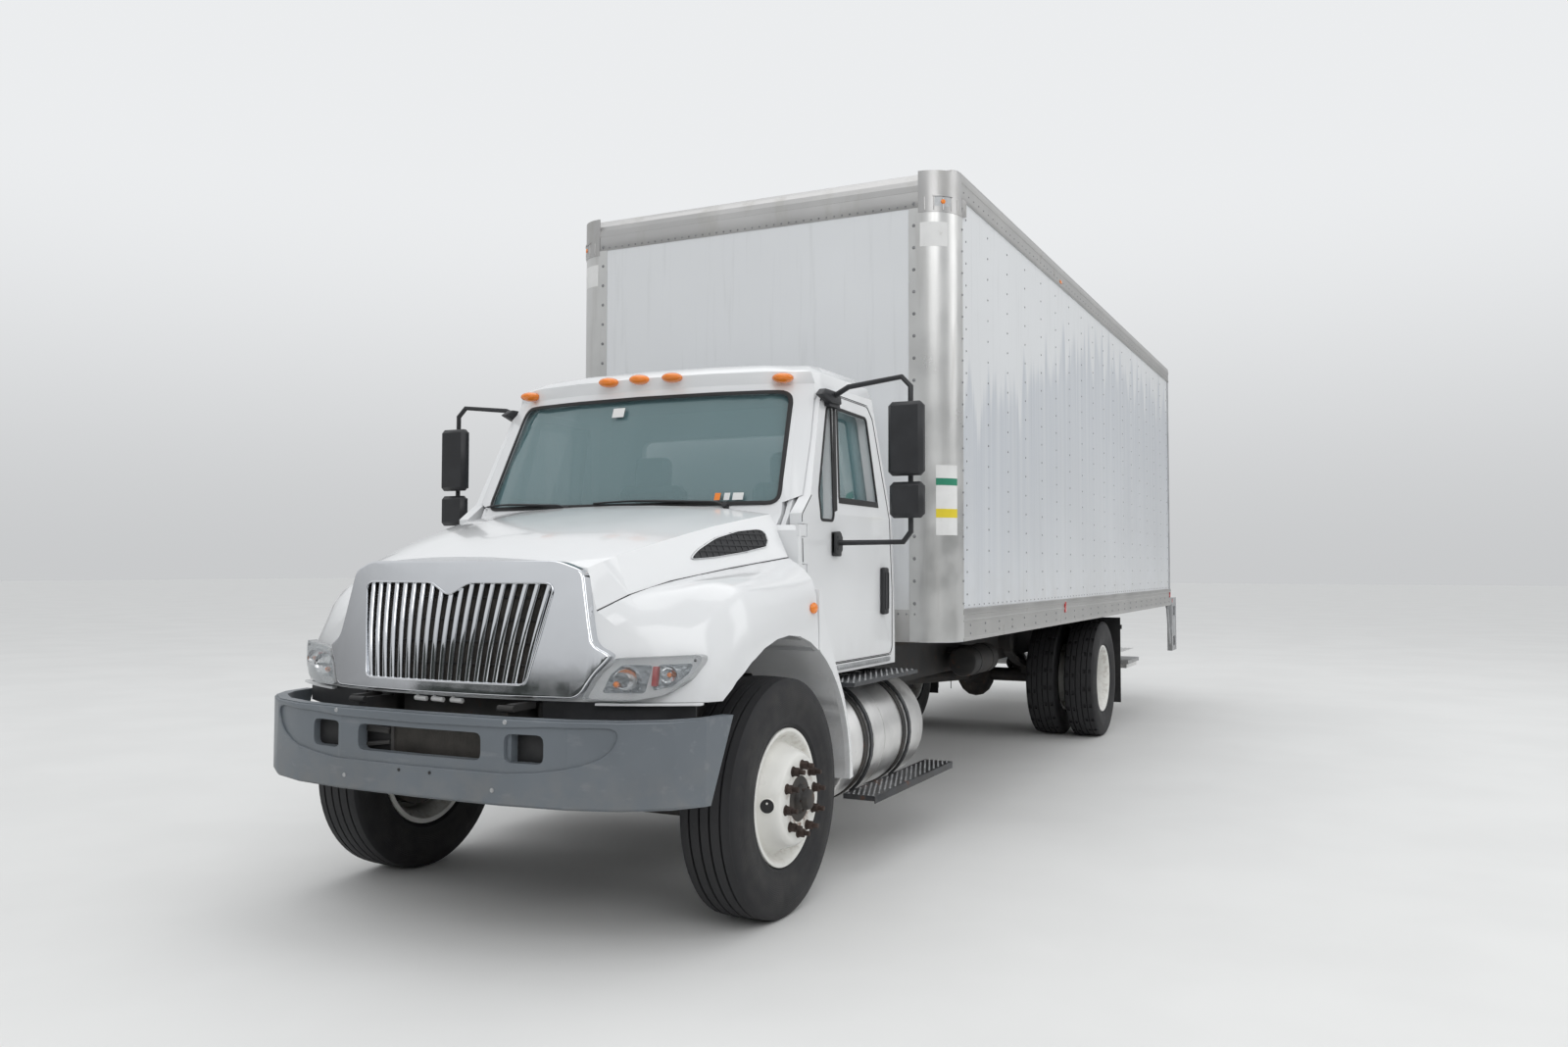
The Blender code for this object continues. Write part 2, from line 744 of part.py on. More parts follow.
def make_engine():
    shapes = [
        block((-0.290, -0.640, 0.760), (0.290, 0.270, 1.420), 0.02),
        block((-0.190, 0.250, 0.680), (0.190, SHAFT_FRONT_Y, 0.940), 0.02),
        block((-0.410, -0.100, RAIL_TOP_Z + GAP), (0.410, 0.020, 1.000)),
    ]
    finish("engine_and_gearbox", join(shapes), CAST_IRON)


def make_radiator():
    shapes = [
        block((-0.335, -0.785, 0.740), (0.335, -0.715, 1.400), 0.01),
        block((-0.415, -0.775, RAIL_TOP_Z + GAP), (0.415, -0.725, 1.010)),
    ]
    finish("radiator", join(shapes), CAST_IRON)


# Bumper

def bumper_line(inset):
    """Half of the bumper's plan, from the middle to the left end, moved in by inset."""
    # x, y, and the direction that inset moves the point
    points = (
        (0.000, -1.060, 0.0, 1.0), (0.420, -1.048, 0.0, 1.0), (0.700, -1.010, -0.15, 1.0),
        (0.900, -0.940, -0.45, 0.9), (1.050, -0.830, -0.75, 0.7), (1.130, -0.710, -0.95, 0.4),
        (1.165, -0.550, -1.0, 0.0),
    )
    return [(x + inset * dx, y + inset * dy) for x, y, dx, dy in points]


def make_bumper():
    outer = bumper_line(0.0)
    inner = bumper_line(BUMPER_WALL)
    outline = (
        [(-x, y) for x, y in reversed(outer[1:])] + outer
        + inner[::-1] + [(-x, y) for x, y in inner[1:]]
    )
    shape = plate(outline, "Z", BUMPER_BOTTOM_Z, BUMPER_TOP_Z)
    end_cut = [(-0.70, 0.55), (-0.40, 0.55), (-0.40, 1.0), (-0.545, 0.96)]
    cutters = [plate(end_cut, "X", -1.3, 1.3)]
    opening = rounded([(-0.32, 0.765), (0.32, 0.765), (0.32, 0.872), (-0.32, 0.872)], 0.03)
    cutters.append(plate(opening, "Y", -1.2, -0.95))
    for side in (1, -1):
        fog = rounded(
            [(side * 0.43, 0.765), (side * 0.60, 0.765), (side * 0.60, 0.875),
             (side * 0.43, 0.875)], 0.03
        )
        cutters.append(plate(fog, "Y", -1.2, -0.93))
    shape = cut(shape, cutters)
    brackets = []
    for side in (1, -1):
        low = min(side * (RAIL_OUTER_X + GAP), side * (RAIL_OUTER_X + 0.020))
        high = max(side * (RAIL_OUTER_X + GAP), side * (RAIL_OUTER_X + 0.020))
        brackets.append(block((low, -1.030, 0.740), (high, -0.700, 0.900)))
    finish("front_bumper", join([shape, *brackets]), BUMPER_GREY)


# Cab

# z, half width, front y at the middle, how far the corner is set back, its radius, rear y
CAB_LEVELS = (
    (CAB_FLOOR_Z, CAB_SIDE_X, 0.560, FIREWALL_BOW, 0.015, 1.660),
    (1.220, CAB_SIDE_X, FIREWALL_Y, FIREWALL_BOW, 0.015, 1.660),
    (1.690, CAB_SIDE_X, FIREWALL_Y, FIREWALL_BOW, 0.015, 1.630),
    (BELT_Z, CAB_SIDE_X, 0.325, 0.080, 0.100, 1.610),
    (2.440, 0.952, 0.560, 0.140, 0.110, 1.510),
    (2.500, 0.935, 0.540, 0.150, 0.110, 1.485),
    (2.545, 0.880, 0.610, 0.150, 0.110, 1.430),
    (2.565, 0.620, 0.800, 0.080, 0.110, 1.250),
)


def cab_ring(level, inset):
    z, half_width, front, setback, corner, rear = level
    w = half_width - inset
    f = front + inset
    r = rear - inset
    half = [
        (0.0, f), (0.45 * w, f + 0.18 * setback), (0.75 * w, f + 0.55 * setback),
        (w - corner, f + setback), (w - 0.27 * corner, f + setback + 0.27 * corner),
        (w, f + setback + corner),
        (w, r - 0.10), (w - 0.03, r - 0.03), (w - 0.10, r), (0.0, r),
    ]
    ring = half + [(-x, y) for x, y in reversed(half[1:-1])]
    return [(x, y, z) for x, y in ring]


def cab_volume(inset, floor_z, roof_drop):
    levels = []
    for n, level in enumerate(CAB_LEVELS):
        z = level[0]
        if n == 0:
            z = floor_z
        elif n >= 5:
            z = z - roof_drop
        levels.append((z, *level[1:]))
    return loft([cab_ring(level, inset) for level in levels])


def door_outline(grow=0.0):
    """The door in Y and Z, clockwise from the belt line at the front."""
    # y, z, and the direction that grow moves the point
    points = (
        (0.345, 1.770, -1, 0), (0.372, 1.420, -1, -1), (0.434, 1.410, -1, -1),
        (0.460, 1.310, -1, -0.4), (0.540, 1.220, -0.7, -0.7), (0.620, 1.100, -0.8, -0.5), (0.690, 1.040, -0.3, -1),
        (1.490, 1.040, 1, -1), (1.520, 1.070, 1, -0.5), (1.520, 1.400, 1, 0),
        (1.480, 1.780, 1, 0), (1.390, 2.330, 1, 0.3), (1.330, 2.395, 0.5, 1),
        (0.760, 2.405, -1, 1), (0.700, 2.350, -1, 0.3), (0.470, 1.860, -1, 0.3),
    )
    return [(y + dy * grow, z + dz * grow) for y, z, dy, dz in points]


VENT_WINDOW = ((0.560, 1.740), (0.720, 1.740), (0.835, 2.330), (0.770, 2.330), (0.560, 1.880))
MAIN_WINDOW = ((0.795, 1.840), (1.330, 1.840), (1.300, 2.330), (0.895, 2.340))
WINDSHIELD = ((-0.890, 1.815), (0.890, 1.815), (0.835, 2.405), (-0.835, 2.405))
HINGE_X = CAB_SIDE_X - 0.008
HINGE_Y = 0.400
HINGE_ZS = (1.470, 1.660)
HINGE_HEIGHT = 0.060


def make_cab():
    shell = cab_volume(0.0, CAB_FLOOR_Z, 0.0)
    inside = cab_volume(CAB_WALL, CAB_FLOOR_Z + CAB_WALL, 0.040)
    openings = [
        inside,
        plate(rounded(WINDSHIELD, 0.07), "Y", 0.20, 0.95),
        plate(rounded([(-0.62, 1.82), (0.62, 1.82), (0.60, 2.28), (-0.60, 2.28)], 0.06),
              "Y", 1.3, 1.8),
    ]
    door_hole = lean_in(plate(door_outline(RUNNING_GAP), "X", 0.900, 1.10))
    openings.append(mirror_shape(door_hole))
    openings.append(door_hole)
    shell = cut(shell, openings)
    additions = []
    for side in (1, -1):
        for y in (0.60, 1.45):
            low = min(side * 0.35, side * 0.42)
            additions.append(
                block((low, y, RAIL_TOP_Z + GAP), (low + 0.07, y + 0.09, CAB_FLOOR_Z + 0.01))
            )
        for z in HINGE_ZS:
            x = side * HINGE_X
            additions.append(rod((x, HINGE_Y, z), (x, HINGE_Y, z + HINGE_HEIGHT), 0.008, 10))
            additions.append(
                block((x - 0.007, 0.320, z + 0.002), (x + 0.007, HINGE_Y, z + HINGE_HEIGHT - 0.002))
            )
    finish("cab", join([shell, *additions]), WHITE_PAINT)


def make_windshield():
    outer = cab_volume(0.018, CAB_FLOOR_Z, 0.018)
    inner = cab_volume(0.018 + GLASS, CAB_FLOOR_Z - 0.1, -0.2)
    sheet = cut(outer, [inner])
    inset = [
        (x - math.copysign(GAP, x), z + (GAP if z < 2 else -GAP)) for x, z in WINDSHIELD
    ]
    window = plate(rounded(inset, 0.07), "Y", 0.20, 0.95)
    finish("windshield", common(sheet, window), GLASS_GREEN)


STEERING_WHEEL = Vector((0.470, 0.800, 1.690))
COLUMN_TILT = math.radians(42)
COLUMN_AXIS = Vector((0, math.sin(COLUMN_TILT), math.cos(COLUMN_TILT)))
STEERING_HUB_DEPTH = 0.050


def make_dashboard():
    """The dashboard, seated on the firewall, with the steering column that it holds."""
    front = FIREWALL_Y + CAB_WALL + FIREWALL_BOW + GAP
    outline = [
        (front, 1.350), (front, 1.600), (0.470, 1.740), (0.640, 1.710), (0.720, 1.600),
        (0.680, 1.380),
    ]
    shape = plate(outline, "X", -0.900, 0.900)
    column = rod(
        STEERING_WHEEL - COLUMN_AXIS * 0.300,
        STEERING_WHEEL - COLUMN_AXIS * (STEERING_HUB_DEPTH / 2 + GAP), 0.034, 12,
    )
    finish("dashboard", join([shape, column]), TRIM_GREY)


def make_steering_wheel():
    builder = bmesh.new()
    bmesh.ops.create_cone(
        builder, cap_ends=True, segments=12, radius1=0.055, radius2=0.045,
        depth=STEERING_HUB_DEPTH,
    )
    hub = object_from(builder)
    points = [(0.215 * math.cos(a), 0.215 * math.sin(a), 0.01)
              for a in (2 * math.pi * n / 24 for n in range(24))]
    curve = bpy.data.curves.new("bar", "CURVE")
    curve.dimensions = "3D"
    curve.bevel_depth = 0.013
    curve.bevel_resolution = 1
    spline = curve.splines.new("POLY")
    spline.points.add(len(points) - 1)
    for point, place in zip(spline.points, points):
        point.co = (*place, 1.0)
    spline.use_cyclic_u = True
    drawn = bpy.data.objects.new("bar", curve)
    CUTTERS.objects.link(drawn)
    mesh = evaluated_mesh(drawn)
    bpy.data.objects.remove(drawn, do_unlink=True)
    builder = bmesh.new()
    builder.from_mesh(mesh)
    bmesh.ops.recalc_face_normals(builder, faces=builder.faces)
    shapes = [object_from(builder), hub]
    for angle in (90, 210, 330):
        a = math.radians(angle)
        shapes.append(
            rod((0.03 * math.cos(a), 0.03 * math.sin(a), 0.0),
                (0.212 * math.cos(a), 0.212 * math.sin(a), 0.01), 0.010, 8)
        )
    shape = join([shapes[1], shapes[2], shapes[3], shapes[4], shapes[0]])
    lean = Matrix.Translation(STEERING_WHEEL) @ Matrix.Rotation(-COLUMN_TILT, 4, "X")
    shape.data.transform(lean)
    finish("steering_wheel", shape, TRIM_GREY, tuple(STEERING_WHEEL))


def make_seats():
    left = [
        block((0.230, 0.950, CAB_FLOOR_Z + CAB_WALL + GAP), (0.690, 1.350, 1.300), 0.02),
        block((0.220, 0.900, 1.280), (0.700, 1.400, 1.430), 0.04),
        block((0.230, 1.330, 1.300), (0.690, 1.460, 2.000), 0.04),
        block((0.340, 1.350, 1.980), (0.580, 1.450, 2.170), 0.03),
    ]
    finish_pair("seat", join(left), TRIM_GREY)


def make_doors():
    door = plate(door_outline(), "X", CAB_SIDE_X - DOOR_THICKNESS, CAB_SIDE_X)
    cutters = [
        plate(rounded(VENT_WINDOW, 0.03), "X", 0.8, 1.1),
        plate(rounded(MAIN_WINDOW, 0.03), "X", 0.8, 1.1),
    ]
    for z in HINGE_ZS:
        cutters.append(
            block((HINGE_X - 0.016, 0.30, z - 0.0006),
                  (1.10, HINGE_Y + 0.014, z + HINGE_HEIGHT + 0.0006))
        )
    door = lean_in(cut(door, cutters))
    handle = block((CAB_SIDE_X - 0.01, 1.355, 1.270), (CAB_SIDE_X + 0.022, 1.400, 1.510), 0.008)
    finish_pair("door", join([door, handle]), WHITE_PAINT, (HINGE_X, HINGE_Y, 1.60))


def make_door_glass():
    """One pane's thickness behind the door's frame, seen through both windows."""
    back = CAB_SIDE_X - DOOR_THICKNESS - GAP
    front = VENT_WINDOW[0][0] - GLASS_MARGIN
    rear = MAIN_WINDOW[1][0] + GLASS_MARGIN
    low = VENT_WINDOW[0][1] - GLASS_MARGIN
    top = MAIN_WINDOW[2][1] + GLASS_MARGIN
    outline = [(front, low), (rear, low), (rear, top),
               (VENT_WINDOW[3][0] + GLASS_MARGIN, top), (front, VENT_WINDOW[4][1])]
    pane = lean_in(plate(outline, "X", back - GLASS, back))
    finish_pair("door_glass", pane, GLASS_GREEN, (HINGE_X, HINGE_Y, 1.60))


def make_mirrors():
    """A bent bar from the door's top corner to its belt, with two mirror heads."""
    bar = tube(
        [(0.970, 0.810, 2.370), (1.080, 0.790, 2.420), (1.370, 0.775, 2.450),
         (1.418, 0.770, 2.400), (1.418, 0.770, 1.690), (1.380, 0.765, 1.640),
         (1.040, 0.735, 1.637)], 0.014, 1
    )
    top_bracket = lean_in(
        block((CAB_SIDE_X + GAP, 0.750, 2.325), (CAB_SIDE_X + 0.030, 0.880, 2.390))
    )
    shapes = [
        bar,
        top_bracket,
        block((1.320, 0.700, 1.960), (1.500, 0.765, 2.320), 0.02),
        block((1.325, 0.705, 1.755), (1.500, 0.765, 1.930), 0.02),
        block((CAB_SIDE_X + GAP, 0.690, 1.570), (CAB_SIDE_X + 0.022, 0.775, 1.690), 0.006),
    ]
    finish_pair("mirror", join(shapes), BLACK_TRIM, (HINGE_X, HINGE_Y, 1.60))


# Hood

# Columns: y at the middle, sweep back at the lamps, rake per metre of height, then x and z
# of the crown, the crest, the seam above the fender, the fender's crest, its flank and hem
HOOD_STATIONS = (
    (-0.900, 0.300, 0.160, (0.34, 1.545), (0.60, 1.510), (0.655, 1.340), (0.82, 1.215),
     (1.070, 1.165), (1.075, HOOD_HEM_Z)),
    (-0.700, 0.180, 0.100, (0.36, 1.605), (0.635, 1.560), (0.70, 1.400), (0.95, 1.400),
     (1.125, 1.280), (1.130, HOOD_HEM_Z)),
    (-0.420, 0.060, 0.030, (0.38, 1.675), (0.70, 1.620), (0.765, 1.455), (1.03, 1.475),
     (1.150, 1.360), (FENDER_X, HOOD_HEM_Z)),
    (-0.050, 0.0, 0.0, (0.42, 1.750), (0.79, 1.700), (0.87, 1.510), (1.06, 1.490),
     (1.150, 1.380), (FENDER_X, HOOD_HEM_Z)),
    (HOOD_REAR_Y, 0.0, 0.0, (0.47, 1.810), (0.89, 1.765), (0.985, 1.560), (1.07, 1.510),
     (1.135, 1.420), (FENDER_X - 0.01, HOOD_HEM_Z)),
)
SWEEP_POWER = 2.5
# How much of both sides of a corner its rounding takes
FENDER_EASE = 0.45
FLANK_EASE = 0.40


def smooth_stations():
    """The stations with one more between each two, on a smooth curve through them all."""
    flat = [list(row[:3]) + [value for pair in row[3:] for value in pair]
            for row in HOOD_STATIONS]
    before_first = [2 * a - b for a, b in zip(flat[0], flat[1])]
    after_last = [2 * a - b for a, b in zip(flat[-1], flat[-2])]
    padded = [before_first, *flat, after_last]
    rows = [flat[0]]
    for before, first, second, after in zip(padded, padded[1:], padded[2:], padded[3:]):
        rows.append([
            (9 * (b + c) - a - d) / 16 for a, b, c, d in zip(before, first, second, after)
        ])
        rows.append(second)
    return [
        (*row[:3], *[(row[n], row[n + 1]) for n in range(3, len(row), 2)]) for row in rows
    ]


def eased(before, corner, after, share):
    """Three points that round a corner off over a share of both its sides."""
    first = [c + (b - c) * share for b, c in zip(before, corner)]
    last = [c + (a - c) * share for a, c in zip(after, corner)]
    middle = [(a + 2 * b + c) / 4 for a, b, c in zip(first, corner, last)]
    return first, middle, last


def hood_points(station):
    """The top of one station's left half: x, z, and how far an inset moves it in x and z."""
    crown, crest, seam, fender, flank, hem = station[3:9]
    centre_z = crown[1] + 0.012
    shoulder = ((crown[0] + crest[0]) / 2, (crown[1] + crest[1]) / 2 + 0.006)
    over = eased(seam, fender, flank, FENDER_EASE)
    edge = eased(fender, flank, hem, FLANK_EASE)
    return [
        (0.0, centre_z, 0, -1), (crown[0] / 2, centre_z - 0.003, 0, -1), (*crown, 0, -1),
        (*shoulder, -0.1, -1), (*crest, -0.6, -1), (*seam, -1, -0.6),
        (*over[0], -0.5, -0.9), (*over[1], -0.3, -1), (*over[2], -0.3, -1),
        (*edge[0], -0.5, -0.9), (*edge[1], -0.8, -0.7), (*edge[2], -1, -0.3),
    ]


def hood_ring(station, inset, extra_y, hem_drop):
    y, sweep, rake = station[:3]
    hem_x = station[8][0]
    hem_z = HOOD_HEM_Z - hem_drop

    def place(x, z, dx, dz):
        back = sweep * (x / 1.1) ** SWEEP_POWER + rake * (z - HOOD_HEM_Z)
        return (x + dx * inset, y + back + extra_y, z + dz * inset)

    tops = hood_points(station)
    upper = [place(*point) for point in tops] + [place(hem_x, hem_z, -1, 0)]
    lower = [place(x, hem_z, dx, 0) for x, z, dx, dz in tops]
    left_upper = [(-x, py, z) for x, py, z in reversed(upper[1:])]
    left_lower = [(-x, py, z) for x, py, z in lower[1:]]
    return left_upper + upper + lower[::-1] + left_lower


def hood_volume(inset, front_shift, rear_shift, hem_drop):
    rings = []
    stations = smooth_stations()
    last = len(stations) - 1
    for n, station in enumerate(stations):
        shift = front_shift if n == 0 else rear_shift if n == last else 0.0
        rings.append(hood_ring(station, inset, shift, hem_drop))
    return loft(rings, strip=True)


def make_hood():
    shell = hood_volume(0.0, 0.0, 0.0, 0.0)
    inside = hood_volume(HOOD_WALL, HOOD_WALL, 0.10, 0.10)
    openings = [inside]
    grille_hole = [
        (-0.40, 1.06), (0.40, 1.06), (0.47, 1.44), (-0.47, 1.44),
    ]
    openings.append(plate(grille_hole, "Y", -1.1, -0.70))
    for side in (1, -1):
        low = min(side * 0.60, side * 1.40)
        high = max(side * 0.60, side * 1.40)
        openings.append(
            rod((low, ARCH_Y, ARCH_Z), (high, ARCH_Y, ARCH_Z), ARCH_R, 36)
        )
    shell = cut(shell, openings)
    liner = arch_liner(LINER_TOP, SPLASH_TOP + 4, 2)
    lug_x = HOOD_BRACKET_X[1] + GAP
    lug = [
        block((lug_x, HOOD_PIVOT_Y, HOOD_PIVOT_Z - 0.010),
              (0.4300, -0.852, HOOD_PIVOT_Z + 0.018)),
        block((lug_x, -0.866, HOOD_PIVOT_Z - 0.005), (0.4300, -0.850, HOOD_HEM_Z + 0.03)),
        rod((lug_x, HOOD_PIVOT_Y, HOOD_PIVOT_Z), (0.4300, HOOD_PIVOT_Y, HOOD_PIVOT_Z), 0.013),
    ]
    left = [liner, *lug]
    right = [mirror_shape(shape) for shape in left]
    finish("hood", join([shell, *left, *right]), WHITE_PAINT, (0, HOOD_PIVOT_Y, HOOD_PIVOT_Z))


def arch_liner(first, last, steps):
    """The wheel arch's inner sheet between two angles above the arch's own centre."""
    outer = arc((ARCH_Y, ARCH_Z), ARCH_R + 0.002 + LINER, first, last, steps)
    inner = arc((ARCH_Y, ARCH_Z), ARCH_R + 0.002, last, first, steps)
    return plate(outer + inner, "X", 0.700, FENDER_X - 0.018)


def make_splash_panels():
    """The rear of each wheel arch, which stays on the cab while the hood tilts."""
    front = HOOD_REAR_Y + RUNNING_GAP
    outline = (
        [(front, 1.415), (0.330, 1.400), (0.385, 1.240), (0.490, 1.060), (0.590, 0.900),
         (0.665, 0.720), (0.700, 0.500)]
        + arc((ARCH_Y, ARCH_Z), ARCH_R + 0.001, SPLASH_LOW, SPLASH_TOP, 9)
        + [(front, 1.140)]
    )
    shapes = [
        arch_liner(SPLASH_TOP, SPLASH_LOW, 10),
        plate(outline, "X", FENDER_X - 0.040, FENDER_X - 0.012),
        block((0.750, 0.585, 0.860), (0.950, 0.640, CAB_FLOOR_Z - GAP)),
    ]
    finish_pair("splash_panel", join(shapes), WHITE_PAINT)


def nose_y(x, z, stand_off):
    """Where the nose's front lies at x and z, with pieces set stand_off ahead of it."""
    station = HOOD_STATIONS[0]
    back = station[1] * (abs(x) / 1.1) ** SWEEP_POWER + station[2] * (z - HOOD_HEM_Z)
    return station[0] + back - stand_off


def nose_plate(outline, back, front, holes=()):
    """An outline in X and Z, bent to the nose between two distances ahead of it."""
    shape = plate(outline, "Y", 0.0, 1.0, holes)
    builder = bmesh.new()
    builder.from_mesh(shape.data)
    for point in hood_points(HOOD_STATIONS[0]):
        for cut_x in {point[0], -point[0]}:
            bmesh.ops.bisect_plane(
                builder, geom=builder.verts[:] + builder.edges[:] + builder.faces[:],
                plane_co=(cut_x, 0, 0), plane_no=(1, 0, 0),
            )
    for vert in builder.verts:
        stand_off = front + (back - front) * vert.co.y
        vert.co.y = nose_y(vert.co.x, vert.co.z, stand_off)
    bmesh.ops.triangulate(builder, faces=builder.faces)
    builder.to_mesh(shape.data)
    builder.free()
    return shape


def make_grille():
    outline = [
        (-0.640, 0.998), (0.640, 0.998), (0.655, 1.300), (0.610, 1.500), (0.500, 1.540),
        (-0.500, 1.540), (-0.610, 1.500), (-0.655, 1.300),
    ]
    window = [
        (-0.425, GRILLE_BOTTOM_Z), (0.425, GRILLE_BOTTOM_Z), (0.505, 1.430),
        (0.480, GRILLE_TOP_Z), (0.10, GRILLE_TOP_Z), (0.0, 1.400), (-0.10, GRILLE_TOP_Z),
        (-0.480, GRILLE_TOP_Z), (-0.505, 1.430),
    ]
    surround = nose_plate(rounded(outline, 0.05), NOSE_STAND_OFF, 0.045, [window])
    shapes = [surround]
    for n in range(GRILLE_BARS):
        t = (n + 0.5) / GRILLE_BARS * 2 - 1
        low_x = 0.428 * t
        top_x = 0.500 * t
        shapes.append(
            rod((low_x, nose_y(low_x, GRILLE_BOTTOM_Z, 0.020), GRILLE_BOTTOM_Z - 0.012),
                (top_x, nose_y(top_x, GRILLE_TOP_Z, 0.020), GRILLE_TOP_Z + 0.012), 0.0085, 6)
        )
    finish("grille", join(shapes), CHROME, (0, HOOD_PIVOT_Y, HOOD_PIVOT_Z))


def make_headlamps():
    outline = [(0.655, 0.998), (0.840, 0.994), (0.950, 1.016), (1.025, 1.070), (1.070, 1.145),
               (1.068, 1.172), (0.765, 1.158), (0.700, 1.090)]
    shape = nose_plate(rounded(outline, 0.02, 2), NOSE_STAND_OFF, 0.050)
    finish_pair("headlamp", shape, LAMP_CLEAR, (0, HOOD_PIVOT_Y, HOOD_PIVOT_Z))


# Beside the frame

TANK_R = 0.305
TANK_STRAP = 0.006
TANK_TOP_Z = 0.925
TANK_X = RAIL_OUTER_X + 0.063 + TANK_R
TANK_Z = TANK_TOP_Z - TANK_R
LOWER_STEP_Z = (0.360, 0.385)
TANK_ENDS = (ARCH_Y + ARCH_R + 0.055, 1.830)


def make_fuel_tank():
    tank = rod((TANK_X, TANK_ENDS[0], TANK_Z), (TANK_X, TANK_ENDS[1], TANK_Z), TANK_R, 24)
    shapes = [tank]
    for y in (0.950, 1.500):
        shapes.append(
            block((RAIL_OUTER_X + GAP, y - 0.03, TANK_TOP_Z - 0.185),
                  (TANK_X - TANK_R * 0.78, y + 0.03, TANK_TOP_Z - 0.045))
        )
        shapes.append(
            rod((TANK_X, y - 0.03, TANK_Z), (TANK_X, y + 0.03, TANK_Z), TANK_R + TANK_STRAP, 24)
        )
    finish("fuel_tank", join(shapes), ALUMINIUM)


def make_side_step():
    top = TANK_TOP_Z + TANK_STRAP
    bulge = (TANK_R + TANK_STRAP) ** 2 - (TANK_Z - LOWER_STEP_Z[1]) ** 2
    inner = TANK_X + math.sqrt(bulge) + 0.025
    shapes = [
        block((0.930, 0.700, top + 0.001), (1.150, 1.600, top + 0.021)),
        block((inner, 0.840, LOWER_STEP_Z[0]), (inner + 0.172, 2.050, LOWER_STEP_Z[1])),
    ]
    for y in (0.72, 1.56):
        shapes.append(block((RAIL_OUTER_X + GAP, y, top + 0.001), (0.96, y + 0.03, top + 0.019)))
    hug = TANK_R + TANK_STRAP + 0.002
    for y in (0.985, 1.535):
        centre = (TANK_X, TANK_Z)
        outline = arc(centre, hug + 0.012, -50, 66, 12) + arc(centre, hug, 66, -50, 12)
        shapes.append(plate(outline, "Y", y, y + 0.03))
        shapes.append(
            block((inner - 0.030, y, LOWER_STEP_Z[0] + 0.003),
                  (inner + 0.010, y + 0.03, LOWER_STEP_Z[1] - 0.003))
        )
        shapes.append(
            block((TANK_X + 0.135, y, top - 0.026), (TANK_X + 0.160, y + 0.03, top + 0.003))
        )
    finish("side_step", join(shapes), CHASSIS_BLACK)


def make_battery_box():
    shapes = [
        block((-1.120, 0.780, 0.420), (-0.560, 1.500, 0.900), 0.015),
        block((-0.600, 0.900, 0.740), (-RAIL_OUTER_X - GAP, 1.400, 0.880)),
        block((-1.200, 0.760, 0.380), (-0.700, 1.520, 0.425)),
    ]
    finish("battery_box", join(shapes), CHASSIS_BLACK)


def make_exhaust():
    shapes = [
        rod((-0.760, 1.750, 0.640), (-0.760, 2.900, 0.640), 0.150, 16),
        rod((-0.760, 2.850, 0.640), (-0.760, 3.400, 0.640), 0.050, 12),
    ]
    for y in (1.95, 2.65):
        shapes.append(
            block((-0.700, y, 0.740), (-RAIL_OUTER_X - GAP, y + 0.05, 0.860))
        )
    finish("exhaust_muffler", join(shapes), CHASSIS_BLACK)


def make_mudflaps():
    shapes = [
        block((0.620, 7.090, 0.230), (1.220, 7.102, 1.040)),
        block((RAIL_OUTER_X + GAP, 7.085, 0.930), (1.230, 7.125, 0.970)),
    ]
    finish_pair("mudflap", join(shapes), BLACK_TRIM)


# Van body

def make_body_floor():
    inner = BODY_HALF_WIDTH - BODY_WALL - GAP
    front = BODY_FRONT_Y + POST_R + 0.03
    rear = BODY_REAR_Y - 0.080 - GAP
    corner = post_plan(BODY_WALL + GAP)
    plan = [(-x, y) for x, y in reversed(corner)] + corner + [(inner, rear), (-inner, rear)]
    shapes = [plate(plan, "Z", FLOOR_Z - FLOOR_THICKNESS, FLOOR_Z)]
    count = 13
    for n in range(count):
        y = front + (rear - front - 0.14) * n / (count - 1)
        shapes.append(
            block((-inner, y, BODY_BOTTOM_Z), (inner, y + 0.045, FLOOR_Z - FLOOR_THICKNESS + 0.005))
        )
    for side in (1, -1):
        low = min(side * 0.345, side * 0.430)
        shapes.append(
            block((low, front + 0.05, RAIL_TOP_Z + GAP), (low + 0.085, 9.28, BODY_BOTTOM_Z + 0.01))
        )
    finish("body_floor", join(shapes), DARK_FLOOR)


def post_plan(inset):
    """The left front corner in plan: the flat front, then a quarter round to the side."""
    centre = (BODY_HALF_WIDTH - POST_R, BODY_FRONT_Y + POST_R)
    return arc(centre, POST_R - inset, -90, 0, 6)


def make_front_wall():
    outer = post_plan(0.0)
    inner = post_plan(BODY_WALL)
    side_end = BODY_FRONT_Y + POST_R + 0.02
    outline = (
        [(-x, y) for x, y in reversed(outer)] + outer
        + [(BODY_HALF_WIDTH, side_end), (BODY_HALF_WIDTH - BODY_WALL, side_end)]
        + inner[::-1] + [(-x, y) for x, y in inner]
        + [(-BODY_HALF_WIDTH + BODY_WALL, side_end), (-BODY_HALF_WIDTH, side_end)]
    )
    shape = plate(outline, "Z", BODY_BOTTOM_Z, BODY_TOP_Z - ROOF_BAND - GAP)
    finish("body_front_wall", shape, PANEL_WHITE)


def make_body_sides():
    """Side panel with its bottom rail and top rail standing proud of the sheet."""
    front = BODY_FRONT_Y + POST_R + 0.02 + GAP
    rear = BODY_REAR_Y - 0.080 - GAP
    sheet = block(
        (BODY_HALF_WIDTH - BODY_WALL, front, BODY_BOTTOM_Z),
        (BODY_HALF_WIDTH - 0.006, rear, BODY_TOP_Z - ROOF_BAND - GAP),
    )
    rail = block(
        (BODY_HALF_WIDTH - 0.012, front, BODY_BOTTOM_Z),
        (BODY_HALF_WIDTH, rear, BODY_BOTTOM_Z + RAIL_BAND),
    )
    finish_pair("body_side", join([sheet, rail]), PANEL_WHITE)


